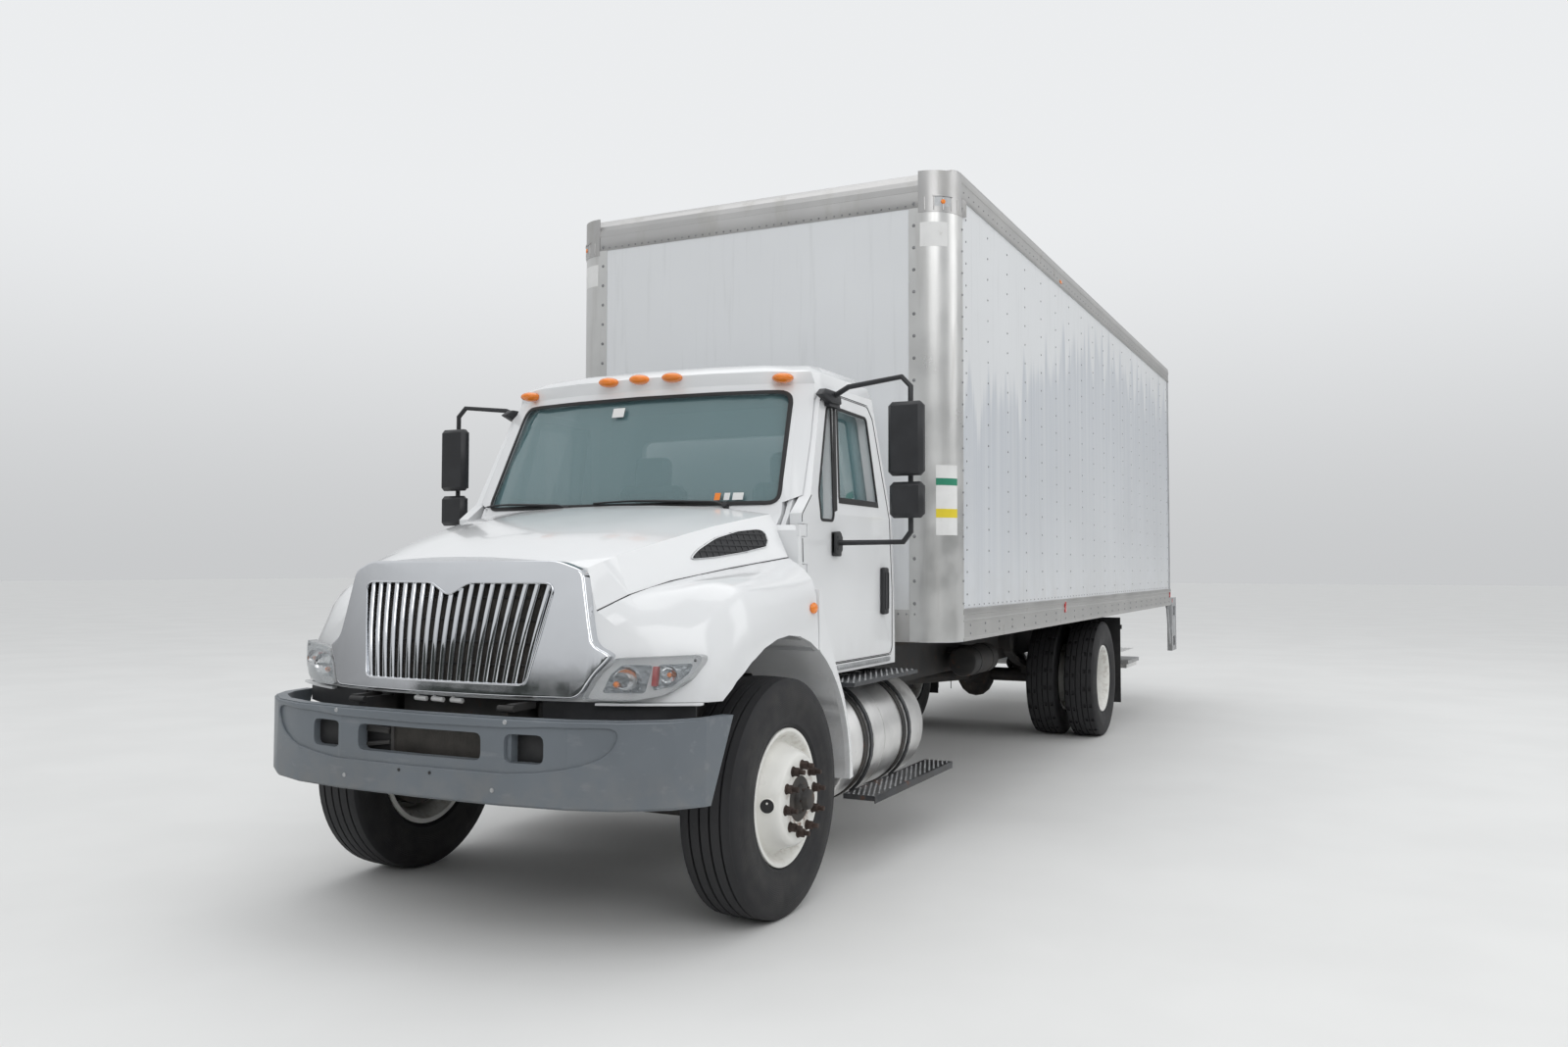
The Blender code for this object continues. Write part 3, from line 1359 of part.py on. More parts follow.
def make_roof():
    header_r = 0.135
    profile = (
        [(BODY_FRONT_Y, BODY_TOP_Z - ROOF_BAND)]
        + arc((BODY_FRONT_Y + header_r, BODY_TOP_Z - header_r), header_r, 180, 90, 6)
        + [(BODY_REAR_Y, BODY_TOP_Z), (BODY_REAR_Y, BODY_TOP_Z - ROOF_BAND)]
    )
    cap = plate(profile, "X", -BODY_HALF_WIDTH, BODY_HALF_WIDTH)
    corner = post_plan(0.0)
    plan = (
        [(-x, y) for x, y in reversed(corner)] + corner
        + [(BODY_HALF_WIDTH, BODY_REAR_Y + 0.1), (-BODY_HALF_WIDTH, BODY_REAR_Y + 0.1)]
    )
    cap = common(cap, plate(plan, "Z", 3.0, 4.0))
    hollow = block(
        (-BODY_HALF_WIDTH + BODY_WALL, BODY_FRONT_Y + POST_R, 3.0),
        (BODY_HALF_WIDTH - BODY_WALL, BODY_REAR_Y - 0.10, BODY_TOP_Z - 0.030),
    )
    finish("body_roof", cut(cap, [hollow]), PANEL_WHITE)


def make_rear_frame():
    top = BODY_TOP_Z - ROOF_BAND - GAP
    outer = [
        (-BODY_HALF_WIDTH, BODY_BOTTOM_Z), (BODY_HALF_WIDTH, BODY_BOTTOM_Z),
        (BODY_HALF_WIDTH, top), (-BODY_HALF_WIDTH, top),
    ]
    x = BODY_HALF_WIDTH - DOOR_POST
    hole = [
        (-x, BODY_BOTTOM_Z + REAR_SILL), (x, BODY_BOTTOM_Z + REAR_SILL),
        (x, top - 0.150), (-x, top - 0.150),
    ]
    shape = plate(outer, "Y", BODY_REAR_Y - 0.080, BODY_REAR_Y, [hole])
    finish("body_rear_frame", shape, GALVANISED)


def make_rear_door():
    """The roll-up door's hinged slats, one sheet with a groove at each joint."""
    top = BODY_TOP_Z - ROOF_BAND - 0.150 - 2 * GAP
    low = BODY_BOTTOM_Z + REAR_SILL + GAP
    x = BODY_HALF_WIDTH - DOOR_POST - GAP
    front = BODY_REAR_Y - 0.065
    back = BODY_REAR_Y - 0.035
    slats = 6
    pitch = (top - low) / slats
    outer = []
    for n in range(slats):
        z = low + n * pitch
        outer += [(back - 0.006, z), (back, z + 0.008), (back, z + pitch - 0.008),
                  (back - 0.006, z + pitch - 0.0001)]
    outline = [(front, low)] + outer[:-1] + [(back - 0.006, top), (front, top)]
    finish("rear_door", plate(outline, "X", -x, x), PANEL_WHITE)


# Lift gate

def make_gate_frame():
    """The bed extension behind the sill, its two step posts and the arms' cross tube."""
    outer = BODY_HALF_WIDTH - 0.010
    shapes = [block((-outer, BODY_REAR_Y + GAP, 1.095), (outer, 9.960, 1.165))]
    for side in (1, -1):
        low = min(side * (outer - GATE_POST), side * outer)
        post = block((low, 9.880, 0.555), (low + GATE_POST, REAR_END, 1.170))
        holes = [
            block((low - 0.1, 9.950, z), (low + 0.2, 10.130, z + 0.110))
            for z in (0.610, 0.960)
        ]
        shapes.append(cut(post, holes))
    finish("gate_frame", join(shapes), GALVANISED)


def make_gate_mount():
    """Brackets under the frame's tail that carry the lift arms' pivots."""
    shapes = [
        rod((-0.56, ARM_PIVOT_Y, ARM_PIVOT_Z), (0.56, ARM_PIVOT_Y, ARM_PIVOT_Z), ARM_PIVOT_R,
            PIN_FACES)
    ]
    for side in (1, -1):
        low = min(side * (RAIL_OUTER_X + GAP), side * 0.450)
        high = max(side * (RAIL_OUTER_X + GAP), side * 0.450)
        shapes.append(block((low, 8.500, 0.615), (high, 8.760, 0.930)))
    finish("gate_mount", join(shapes), CHASSIS_BLACK)


def make_lift_arms():
    outline_low = (ARM_PIVOT_Y, ARM_PIVOT_Z)
    outline_end = (ARM_END_Y, ARM_END_Z)
    direction = (Vector(outline_end) - Vector(outline_low)).normalized()
    across = Vector((-direction.y, direction.x)) * 0.042
    corners = [
        Vector(outline_low) - direction * 0.045 + across,
        Vector(outline_low) - direction * 0.045 - across,
        Vector(outline_end) + direction * 0.040 - across,
        Vector(outline_end) + direction * 0.040 + across,
    ]
    outline = rounded([(c.x, c.y) for c in corners], 0.03)
    shapes = []
    for side in (1, -1):
        low = min(side * 0.475, side * 0.535)
        arm = plate(outline, "X", low, low + 0.060)
        bore = rod((low - 0.1, ARM_PIVOT_Y, ARM_PIVOT_Z), (low + 0.2, ARM_PIVOT_Y, ARM_PIVOT_Z),
                   bore_for(ARM_PIVOT_R, PIN_FACES), PIN_FACES)
        shapes.append(cut(arm, [bore]))
    middle = Vector(outline_low).lerp(Vector(outline_end), 0.55)
    shapes.append(rod((-0.50, middle.x, middle.y), (0.50, middle.x, middle.y), 0.030, 10))
    shapes.append(
        rod((-0.62, ARM_END_Y, ARM_END_Z), (0.62, ARM_END_Y, ARM_END_Z), ARM_END_R, PIN_FACES)
    )
    finish("lift_arms", join(shapes), CHASSIS_BLACK, (0, ARM_PIVOT_Y, ARM_PIVOT_Z))


def make_platform():
    """The folded platform under the tail, hung from the arms' ends."""
    deck = block((-1.000, 8.700, 0.470), (1.000, ARM_END_Y - 0.060, 0.510))
    shapes = [deck]
    for side in (1, -1):
        low = min(side * 0.560, side * 0.610)
        lug_outline = [
            (ARM_END_Y - 0.20, 0.480), (ARM_END_Y - 0.02, 0.480), (ARM_END_Y + 0.045, 0.540),
            (ARM_END_Y + 0.045, 0.600), (ARM_END_Y - 0.045, 0.600),
        ]
        lug = plate(lug_outline, "X", low, low + 0.050)
        bore = rod((low - 0.1, ARM_END_Y, ARM_END_Z), (low + 0.2, ARM_END_Y, ARM_END_Z),
                   bore_for(ARM_END_R, PIN_FACES), PIN_FACES)
        shapes.append(cut(lug, [bore]))
    finish("lift_platform", join(shapes), GALVANISED, (0, ARM_END_Y, ARM_END_Z))


def make_flip_over():
    """The platform's folded outer half, lying under it."""
    shapes = [block((-0.980, 8.720, 0.425), (0.980, 9.300, 0.470 - GAP))]
    finish("lift_flip_over", join(shapes), ALUMINIUM, (0, ARM_END_Y, ARM_END_Z))


clear_scene()
PARTS = new_collection("box_truck")
CUTTERS = new_collection("cutters", helper=True)
ORIGIN = bpy.data.objects.new("front_axle_centre", None)
ORIGIN.location = (0.0, FRONT_AXLE_Y, 0.0)
PARTS.objects.link(ORIGIN)

WHITE_PAINT = material("white_paint", (0.80, 0.81, 0.82), 0.22)
PANEL_WHITE = material("panel_white", (0.78, 0.79, 0.81), 0.38)
BUMPER_GREY = material("bumper_grey", (0.15, 0.17, 0.19), 0.50)
CHROME = material("chrome", (0.80, 0.81, 0.83), 0.08, 1.0)
GLASS_GREEN = material("glass", (0.45, 0.60, 0.56), 0.05, 0.0, 0.35)
BLACK_TRIM = material("black_trim", (0.03, 0.032, 0.038), 0.55)
CHASSIS_BLACK = material("chassis_black", (0.035, 0.035, 0.037), 0.60)
RUBBER = material("rubber", (0.022, 0.022, 0.024), 0.80)
WHEEL_PAINT = material("wheel_paint", (0.74, 0.72, 0.66), 0.38)
ALUMINIUM = material("aluminium", (0.62, 0.61, 0.59), 0.38, 1.0)
GALVANISED = material("galvanised", (0.52, 0.53, 0.54), 0.50, 0.8)
CAST_IRON = material("cast_iron", (0.09, 0.09, 0.09), 0.70, 0.4)
TRIM_GREY = material("trim_grey", (0.18, 0.19, 0.20), 0.75)
LAMP_CLEAR = material("lamp_clear", (0.78, 0.80, 0.82), 0.08, 0.2)
DARK_FLOOR = material("dark_floor", (0.10, 0.085, 0.07), 0.75)


def main():
    make_frame()
    make_bumper()
    make_front_axle()
    make_knuckles()
    make_tie_rod()
    make_rear_axle()
    make_drive_shaft()
    make_engine()
    make_radiator()
    make_tyres()
    make_front_wheels()
    make_rear_wheels()
    make_cab()
    make_windshield()
    make_dashboard()
    make_steering_wheel()
    make_seats()
    make_doors()
    make_door_glass()
    make_mirrors()
    make_hood()
    make_splash_panels()
    make_grille()
    make_headlamps()
    make_fuel_tank()
    make_side_step()
    make_battery_box()
    make_exhaust()
    make_mudflaps()
    make_body_floor()
    make_front_wall()
    make_body_sides()
    make_roof()
    make_rear_frame()
    make_rear_door()
    make_gate_frame()
    make_gate_mount()
    make_lift_arms()
    make_platform()
    make_flip_over()


main()
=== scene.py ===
"""Looks for the box truck: finishes, tyres, wheels, trim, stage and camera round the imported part.

Laid out as a Blender add-on, with one operator for each piece or group of like pieces. All
places are measured from the front axle, on the ground, and moved to the part's own frame
when a piece is finished.
"""

import json
import math

import bmesh
import bpy
from bpy.props import FloatProperty, FloatVectorProperty, IntProperty, PointerProperty
from mathutils import Matrix, Vector
from mathutils.bvhtree import BVHTree

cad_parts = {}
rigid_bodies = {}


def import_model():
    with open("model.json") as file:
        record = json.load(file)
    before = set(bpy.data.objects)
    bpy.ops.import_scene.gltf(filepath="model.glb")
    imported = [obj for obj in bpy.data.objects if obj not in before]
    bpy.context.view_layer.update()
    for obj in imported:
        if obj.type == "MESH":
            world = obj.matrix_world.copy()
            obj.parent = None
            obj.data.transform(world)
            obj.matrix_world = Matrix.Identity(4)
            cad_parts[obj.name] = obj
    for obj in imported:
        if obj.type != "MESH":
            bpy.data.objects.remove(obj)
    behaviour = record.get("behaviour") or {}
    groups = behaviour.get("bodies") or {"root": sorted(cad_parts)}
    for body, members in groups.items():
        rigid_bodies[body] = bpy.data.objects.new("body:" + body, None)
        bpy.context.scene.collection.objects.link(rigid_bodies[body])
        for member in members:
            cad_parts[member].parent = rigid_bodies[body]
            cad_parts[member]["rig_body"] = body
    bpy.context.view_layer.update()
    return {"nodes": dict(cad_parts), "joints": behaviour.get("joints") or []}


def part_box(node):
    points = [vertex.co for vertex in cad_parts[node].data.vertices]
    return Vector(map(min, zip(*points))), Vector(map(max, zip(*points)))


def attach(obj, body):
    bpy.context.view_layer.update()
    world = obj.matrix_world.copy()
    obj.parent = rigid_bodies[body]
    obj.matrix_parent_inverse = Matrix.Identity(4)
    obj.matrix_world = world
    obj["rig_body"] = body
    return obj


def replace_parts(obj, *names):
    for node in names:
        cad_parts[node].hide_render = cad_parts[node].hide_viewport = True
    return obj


bl_info = {
    "name": "Box truck looks",
    "version": (1, 0, 0),
    "blender": (4, 5, 0),
    "location": "View3D > Sidebar > Box truck",
    "description": "Builds the visible finish of the box truck round its packed solids",
    "category": "Object",
}

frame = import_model()
NODES = frame["nodes"]
JOINTS = {joint["name"]: joint for joint in frame["joints"]}
FRONT_AXLE_Y = JOINTS["left_steer"]["pos_m"][1]
WHEELBASE = JOINTS["left_rear_roll"]["pos_m"][1] - FRONT_AXLE_Y
AXLE_Z = JOINTS["left_front_roll"]["pos_m"][2]
FRONT_WHEEL_X = JOINTS["left_front_roll"]["pos_m"][0]
REAR_WHEEL_X = JOINTS["left_rear_roll"]["pos_m"][0]
FLOOR_SHADE = (0.78, 0.78, 0.77)
BELT_LINE = 1.780
SIDE_LEAN = 0.118
RAIL_X = 0.4325
POST_RADIUS = 0.190
TREAD_STEPS = 84
STUD_CIRCLE = 0.143
DOOR_FACE = 1.0305
RIM_LIP = ((0.274, 0.106), (0.283, 0.1135), (0.2965, 0.1140), (0.2985, 0.1110),
           (0.2985, 0.1040), (0.286, 0.1025))
SAME_POINT = 0.0004
SIDES = (("left", 1), ("right", -1))


def node_box(name):
    """A CAD node's lowest and highest corner, measured from the front axle."""
    low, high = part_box(name)
    shift = Vector((0, FRONT_AXLE_Y, 0))
    return Vector(low) - shift, Vector(high) - shift


BODY_LOW, BODY_HIGH = node_box("body_roof")
BODY_BOTTOM = node_box("body_side_left")[0].z
BODY_HALF = BODY_HIGH.x
BODY_FRONT = BODY_LOW.y
BODY_REAR = BODY_HIGH.y
BODY_TOP = BODY_HIGH.z


class TruckSizes(bpy.types.PropertyGroup):
    """Sizes of the dressing that a user may change."""

    tyre_radius: FloatProperty(
        name="Tyre radius", description="Outer radius over the tread", default=0.520,
        min=0.4, max=0.6, unit="LENGTH",
    )
    groove_depth: FloatProperty(
        name="Groove depth", description="Depth of the tread grooves", default=0.013,
        min=0.004, max=0.02, unit="LENGTH",
    )
    rivet_radius: FloatProperty(
        name="Rivet radius", description="Radius of the body's rivet heads", default=0.0085,
        min=0.004, max=0.02, unit="LENGTH",
    )
    side_columns: IntProperty(
        name="Rivet columns", description="Rivet columns on each side of the body",
        default=18, min=4, max=40,
    )
    stud_count: IntProperty(
        name="Wheel studs", description="Studs on each wheel", default=10, min=5, max=12,
    )


class TruckColours(bpy.types.PropertyGroup):
    """Colours of the main finishes that a user may change."""

    cab: FloatVectorProperty(
        name="Cab paint", description="Colour of the cab and hood", subtype="COLOR",
        default=(0.80, 0.81, 0.82), min=0, max=1,
    )
    panel: FloatVectorProperty(
        name="Body panels", description="Colour of the van body's panels", subtype="COLOR",
        default=(0.76, 0.775, 0.79), min=0, max=1,
    )
    bumper: FloatVectorProperty(
        name="Bumper", description="Colour of the front bumper", subtype="COLOR",
        default=(0.145, 0.165, 0.185), min=0, max=1,
    )
    wheel: FloatVectorProperty(
        name="Wheels", description="Paint of the disc wheels", subtype="COLOR",
        default=(0.80, 0.795, 0.76), min=0, max=1,
    )


# Finishes

class Shader:
    """One material's node tree, built from short calls."""

    def __init__(self, name, colour, roughness, metallic=0.0):
        self.material = bpy.data.materials.new(name)
        self.material.use_nodes = True
        self.material.diffuse_color = (*colour, 1.0)
        self.tree = self.material.node_tree
        self.base = self.tree.nodes["Principled BSDF"]
        self.base.inputs["Metallic"].default_value = metallic
        self.roughness = roughness
        self.colour = (*colour, 1.0)
        self.place = self.add("ShaderNodeTexCoord").outputs["Object"]
        parts = self.add("ShaderNodeSeparateXYZ")
        self.tree.links.new(self.place, parts.inputs[0])
        self.axes = parts.outputs
        self.colour_out = None
        self.rough_out = None
        self.height_out = None

    def add(self, kind, **settings):
        node = self.tree.nodes.new(kind)
        for key, value in settings.items():
            setattr(node, key, value)
        return node

    def put(self, socket, value):
        if isinstance(value, bpy.types.NodeSocket):
            self.tree.links.new(value, socket)
        else:
            socket.default_value = value

    def math(self, operation, first, second=0.0, clamp=False):
        node = self.add("ShaderNodeMath", operation=operation, use_clamp=clamp)
        self.put(node.inputs[0], first)
        self.put(node.inputs[1], second)
        return node.outputs[0]

    def ramp(self, value, low, high, to_low=0.0, to_high=1.0, smooth=True):
        node = self.add("ShaderNodeMapRange")
        node.interpolation_type = "SMOOTHSTEP" if smooth else "LINEAR"
        self.put(node.inputs["Value"], value)
        self.put(node.inputs["From Min"], low)
        self.put(node.inputs["From Max"], high)
        self.put(node.inputs["To Min"], to_low)
        self.put(node.inputs["To Max"], to_high)
        return node.outputs["Result"]

    def stretched(self, stretch):
        node = self.add("ShaderNodeMapping")
        self.put(node.inputs["Vector"], self.place)
        node.inputs["Scale"].default_value = stretch
        return node.outputs[0]

    def noise(self, scale, detail, stretch=(1, 1, 1), roughness=0.55):
        node = self.add("ShaderNodeTexNoise")
        self.put(node.inputs["Vector"], self.stretched(stretch))
        node.inputs["Scale"].default_value = scale
        node.inputs["Detail"].default_value = detail
        node.inputs["Roughness"].default_value = roughness
        return node.outputs["Fac"]

    def cells(self, scale):
        """A pattern of cells, each with its own tone."""
        node = self.add("ShaderNodeTexVoronoi")
        self.put(node.inputs["Vector"], self.stretched((1, 1, 1)))
        node.inputs["Scale"].default_value = scale
        tone = self.add("ShaderNodeRGBToBW")
        self.put(tone.inputs[0], node.outputs["Color"])
        return tone.outputs[0]

    def product(self, first, *others):
        for other in others:
            first = self.math("MULTIPLY", first, other)
        return first

    def patches(self, scale, detail, low, high, amount=None, stretch=(1, 1, 1)):
        """A mask of soft-edged patches."""
        mask = self.ramp(self.noise(scale, detail, stretch), low, high)
        return mask if amount is None else self.product(mask, amount)

    def mix(self, kind, share, first, second):
        node = self.add("ShaderNodeMix", data_type=kind)
        for socket, value in (("Factor", share), ("A", first), ("B", second)):
            self.put(node.inputs[socket], value)
        return node.outputs["Result"]

    def bump(self, height, strength, distance):
        node = self.add("ShaderNodeBump")
        node.inputs["Strength"].default_value = strength
        node.inputs["Distance"].default_value = distance
        self.put(node.inputs["Height"], height)
        self.put(self.base.inputs["Normal"], node.outputs[0])
        return self

    def radius(self, centre_y, centre_z):
        """Distance from an axle that runs along X."""
        y = self.math("SUBTRACT", self.axes["Y"], centre_y + FRONT_AXLE_Y)
        z = self.math("SUBTRACT", self.axes["Z"], centre_z)
        squares = self.math("ADD", self.product(y, y), self.product(z, z))
        return self.math("SQRT", squares)

    def mottle(self, scale, amount):
        """Slow variation of the base colour and of the gloss."""
        value = self.noise(scale, 3.0)
        darker = [c * (1 - amount) for c in self.colour[:3]]
        lighter = [min(1.0, c * (1 + amount)) for c in self.colour[:3]]
        self.colour_out = self.mix("RGBA", self.ramp(value, 0.3, 0.7), (*darker, 1.0),
                                   (*lighter, 1.0))
        spread = min(0.12, self.roughness * 0.35) / 2
        self.rough_out = self.ramp(value, 0.3, 0.7, self.roughness - spread,
                                   self.roughness + spread)
        return self

    def coat_over(self, mask, colour, roughness):
        """Dirt, dust, rust, a stripe or a painted reflection laid over what is there by a mask."""
        self.colour_out = self.mix("RGBA", mask, self.colour_out or self.colour,
                                   (*colour, 1.0))
        self.rough_out = self.mix("FLOAT", mask, self.rough_out or self.roughness, roughness)
        return self

    def dust(self, top, amount, colour, scale=7.0, low=0.0):
        """Road dust that thins out towards a height above the ground."""
        fade = self.ramp(self.axes["Z"], low, top, 1.0, 0.0)
        patches = self.patches(scale, 6.0, 0.32, 0.72)
        both = self.math("MULTIPLY", self.product(fade, patches), amount, True)
        return self.coat_over(both, colour, 0.85)

    def spots(self, scale, start, amount, colour=(0.16, 0.062, 0.028)):
        """Rust or stains in patches."""
        patches = self.ramp(self.noise(scale, 8.0, roughness=0.7), start, start + 0.1)
        return self.coat_over(self.product(patches, amount), colour, 0.8)

    def grain(self, scale, strength, distance, stretch=(1, 1, 1)):
        return self.bump(self.noise(scale, 3.0, stretch), strength, distance)

    def set(self, socket, value):
        self.base.inputs[socket].default_value = value
        return self

    def made(self):
        self.put(self.base.inputs["Base Color"], self.colour_out or self.colour)
        self.put(self.base.inputs["Roughness"], self.rough_out or self.roughness)
        return self.material


def make_finishes(colours):
    """Every finish of the truck, by its plain name."""
    cab = Shader("cab_paint", colours.cab, 0.20).mottle(1.3, 0.015)
    cab.dust(1.35, 0.30, (0.46, 0.43, 0.39), 9.0, 0.55)
    cab.grain(420, 0.04, 0.0004).set("Coat Weight", 0.5).set("Coat Roughness", 0.05)
    panel = Shader("body_panel", colours.panel, 0.36).mottle(0.7, 0.02)
    # Painted reflection: a bluish-grey band of reflected dark horizon over the body's sides, under
    # an edge that rises towards the rear with tongues and strips, strongest just under the edge.
    side = panel.ramp(panel.math("ABSOLUTE", panel.axes["X"]), BODY_HALF - 0.030,
                      BODY_HALF - 0.015)
    tongues = panel.math("SUBTRACT", panel.noise(5.5, 4.0, (0, 1, 0)), 0.5)
    front = FRONT_AXLE_Y + BODY_FRONT
    edge = panel.math("ADD", panel.ramp(panel.axes["Y"], front, front + 4.2, 2.52, 3.42),
                      panel.product(tongues, 1.9))
    below = panel.math("SUBTRACT", edge, panel.axes["Z"])
    painted_reflection = panel.product(panel.ramp(below, -0.06, 0.16), side)
    strips = panel.ramp(panel.noise(11.0, 5.0, (0, 1, 0)), 0.30, 0.70, 0.45, 1.0)
    faded = panel.ramp(below, 0.10, 2.2, 1.0, 0.30)
    panel.coat_over(panel.product(painted_reflection, strips, faded, 0.80), (0.50, 0.535, 0.59), 0.34)
    panel.coat_over(panel.patches(26.0, 4.0, 0.52, 0.75, 0.16, (1, 1, 0.05)),
                    (0.45, 0.46, 0.46), 0.5)
    panel.dust(1.7, 0.35, (0.48, 0.46, 0.42), 5.0, 1.0).grain(160, 0.05, 0.0006)
    post = Shader("post_aluminium", (0.66, 0.66, 0.65), 0.33, 0.85).mottle(4.0, 0.05)
    post.coat_over(post.patches(14.0, 5.0, 0.5, 0.7, 0.35, (1, 1, 0.06)),
                   (0.50, 0.49, 0.47), 0.5)
    post.grain(240, 0.05, 0.0004, (1, 1, 0.04))
    rail = Shader("rail_aluminium", (0.50, 0.495, 0.485), 0.40, 0.9).mottle(3.0, 0.08)
    rail.spots(6.0, 0.58, 0.35, (0.33, 0.31, 0.28)).grain(180, 0.06, 0.0005, (1, 0.1, 1))
    header = Shader("header_aluminium", (0.50, 0.495, 0.49), 0.38, 0.75).mottle(2.0, 0.07)
    header.coat_over(header.patches(7.0, 6.0, 0.5, 0.7, 0.4, (1, 1, 0.3)),
                     (0.42, 0.41, 0.38), 0.6)
    header.grain(120, 0.06, 0.0006)
    chrome = Shader("chrome", (0.70, 0.715, 0.74), 0.07, 1.0).mottle(5.0, 0.02)
    chrome.dust(1.25, 0.12, (0.42, 0.40, 0.36), 12.0, 0.9).grain(60, 0.02, 0.0004)
    bumper = Shader("bumper_grey", colours.bumper, 0.42).mottle(2.5, 0.06)
    bumper.coat_over(bumper.patches(22.0, 7.0, 0.56, 0.72, 0.30, (0.25, 1, 1)),
                     (0.26, 0.27, 0.28), 0.6)
    bumper.dust(0.86, 0.30, (0.27, 0.25, 0.22), 11.0, 0.55).grain(300, 0.12, 0.0006)
    plastic = Shader("black_plastic", (0.022, 0.023, 0.026), 0.50).mottle(6.0, 0.2)
    plastic.dust(2.6, 0.10, (0.14, 0.13, 0.12), 14.0).grain(500, 0.25, 0.0004)
    rubber = Shader("black_rubber", (0.016, 0.016, 0.017), 0.62).mottle(8.0, 0.2)
    rubber.dust(2.6, 0.12, (0.12, 0.115, 0.11), 18.0).grain(350, 0.15, 0.0004)
    black = Shader("chassis_black", (0.026, 0.026, 0.027), 0.58).mottle(4.0, 0.25)
    black.dust(1.3, 0.55, (0.13, 0.105, 0.08), 8.0).spots(16.0, 0.60, 0.55)
    black.grain(140, 0.25, 0.0008)
    iron = Shader("cast_iron", (0.07, 0.07, 0.07), 0.7, 0.3).mottle(6.0, 0.25)
    iron.dust(1.4, 0.5, (0.15, 0.12, 0.09)).spots(12.0, 0.58, 0.4).grain(90, 0.4, 0.001)
    rust = Shader("rusty_steel", (0.058, 0.040, 0.034), 0.70, 0.30).mottle(22.0, 0.4)
    rust.spots(34.0, 0.52, 0.6, (0.045, 0.028, 0.020)).grain(260, 0.5, 0.0008)
    zinc = Shader("galvanised_steel", (0.50, 0.51, 0.52), 0.46, 0.75).mottle(9.0, 0.12)
    zinc.coat_over(zinc.ramp(zinc.cells(55.0), 0.2, 0.9, 0.0, 0.3), (0.36, 0.37, 0.38), 0.55)
    zinc.dust(1.3, 0.35, (0.30, 0.26, 0.21)).spots(13.0, 0.63, 0.5)
    zinc.grain(120, 0.12, 0.0006)
    tank = Shader("tank_aluminium", (0.80, 0.795, 0.785), 0.40, 0.9).mottle(5.0, 0.08)
    tank.spots(9.0, 0.58, 0.15, (0.50, 0.48, 0.45)).dust(0.70, 0.25, (0.40, 0.37, 0.33))
    tank.grain(150, 0.10, 0.0006, (1, 0.06, 1))
    step = Shader("step_steel", (0.066, 0.069, 0.075), 0.44, 0.55).mottle(9.0, 0.3)
    step.dust(1.1, 0.25, (0.15, 0.13, 0.11), 12.0)
    step.spots(9.0, 0.60, 0.75, (0.19, 0.085, 0.045)).grain(150, 0.3, 0.0008)
    # The treads' light colour is partly wear on their tops and partly painted highlight.
    tread = Shader("worn_tread", (0.30, 0.305, 0.31), 0.40, 0.8).mottle(14.0, 0.3)
    tread.spots(9.0, 0.60, 0.8, (0.19, 0.085, 0.045)).grain(200, 0.2, 0.0006)
    grey = Shader("interior_grey", (0.17, 0.175, 0.18), 0.72).mottle(5.0, 0.1)
    grey.grain(420, 0.3, 0.0005)
    wood = Shader("floor_underside", (0.060, 0.052, 0.044), 0.8).mottle(2.0, 0.3)
    wood.spots(11.0, 0.55, 0.5, (0.10, 0.075, 0.05)).grain(60, 0.3, 0.001, (1, 0.2, 1))
    amber = Shader("amber_lens", (0.90, 0.235, 0.012), 0.16).mottle(9.0, 0.08)
    amber.grain(160, 0.15, 0.0006).set("Coat Weight", 0.6)
    red = Shader("red_lens", (0.50, 0.018, 0.015), 0.16).mottle(9.0, 0.1)
    red.grain(160, 0.15, 0.0006).set("Coat Weight", 0.6)
    white = Shader("white_plate", (0.80, 0.80, 0.79), 0.45).mottle(6.0, 0.04)
    white.spots(20.0, 0.62, 0.3, (0.5, 0.48, 0.44)).grain(200, 0.05, 0.0004)
    green = Shader("green_band", (0.02, 0.24, 0.14), 0.45).mottle(6.0, 0.08)
    green.grain(200, 0.05, 0.0004)
    yellow = Shader("yellow_band", (0.78, 0.62, 0.03), 0.45).mottle(6.0, 0.06)
    yellow.grain(200, 0.05, 0.0004)
    bulb = Shader("lamp_reflector", (0.86, 0.87, 0.88), 0.10, 1.0).mottle(12.0, 0.05)
    bulb.grain(90, 0.35, 0.002)
    chamber = Shader("lamp_chamber", (0.36, 0.38, 0.40), 0.24, 1.0).mottle(16.0, 0.2)
    chamber.grain(70, 0.6, 0.004)
    rivet = Shader("rivet_heads", (0.27, 0.275, 0.28), 0.48, 0.5).mottle(30.0, 0.2)
    rivet.grain(300, 0.1, 0.0004)
    fins = Shader("condenser_fins", (0.085, 0.078, 0.07), 0.6, 0.5).mottle(8.0, 0.25)
    fins.grain(1, 0.9, 0.004, (900, 1, 40))
    made = {
        "cab": cab, "panel": panel, "post": post, "rail": rail, "header": header,
        "chrome": chrome, "bumper": bumper, "plastic": plastic, "rubber": rubber,
        "black": black, "iron": iron, "rust": rust, "zinc": zinc, "tank": tank,
        "grey": grey, "wood": wood, "amber": amber, "red": red, "white": white,
        "green": green, "yellow": yellow, "reflector": bulb, "chamber": chamber, "fins": fins,
        "rivet": rivet, "step": step, "tread": tread,
    }
    finishes = {name: shader.made() for name, shader in made.items()}
    finishes["glass"] = make_glass("cab_glass", (0.165, 0.285, 0.305), 0.50, 0.96)
    finishes["lens"] = make_glass("clear_lens", (0.50, 0.54, 0.56), 0.10, 0.70)
    for name, centre in (("front", 0.0), ("rear", WHEELBASE)):
        finishes["tyre_" + name] = make_rubber("tyre_" + name, centre)
        finishes["wheel_" + name] = make_wheel_paint("wheel_" + name, centre, colours.wheel)
    return finishes


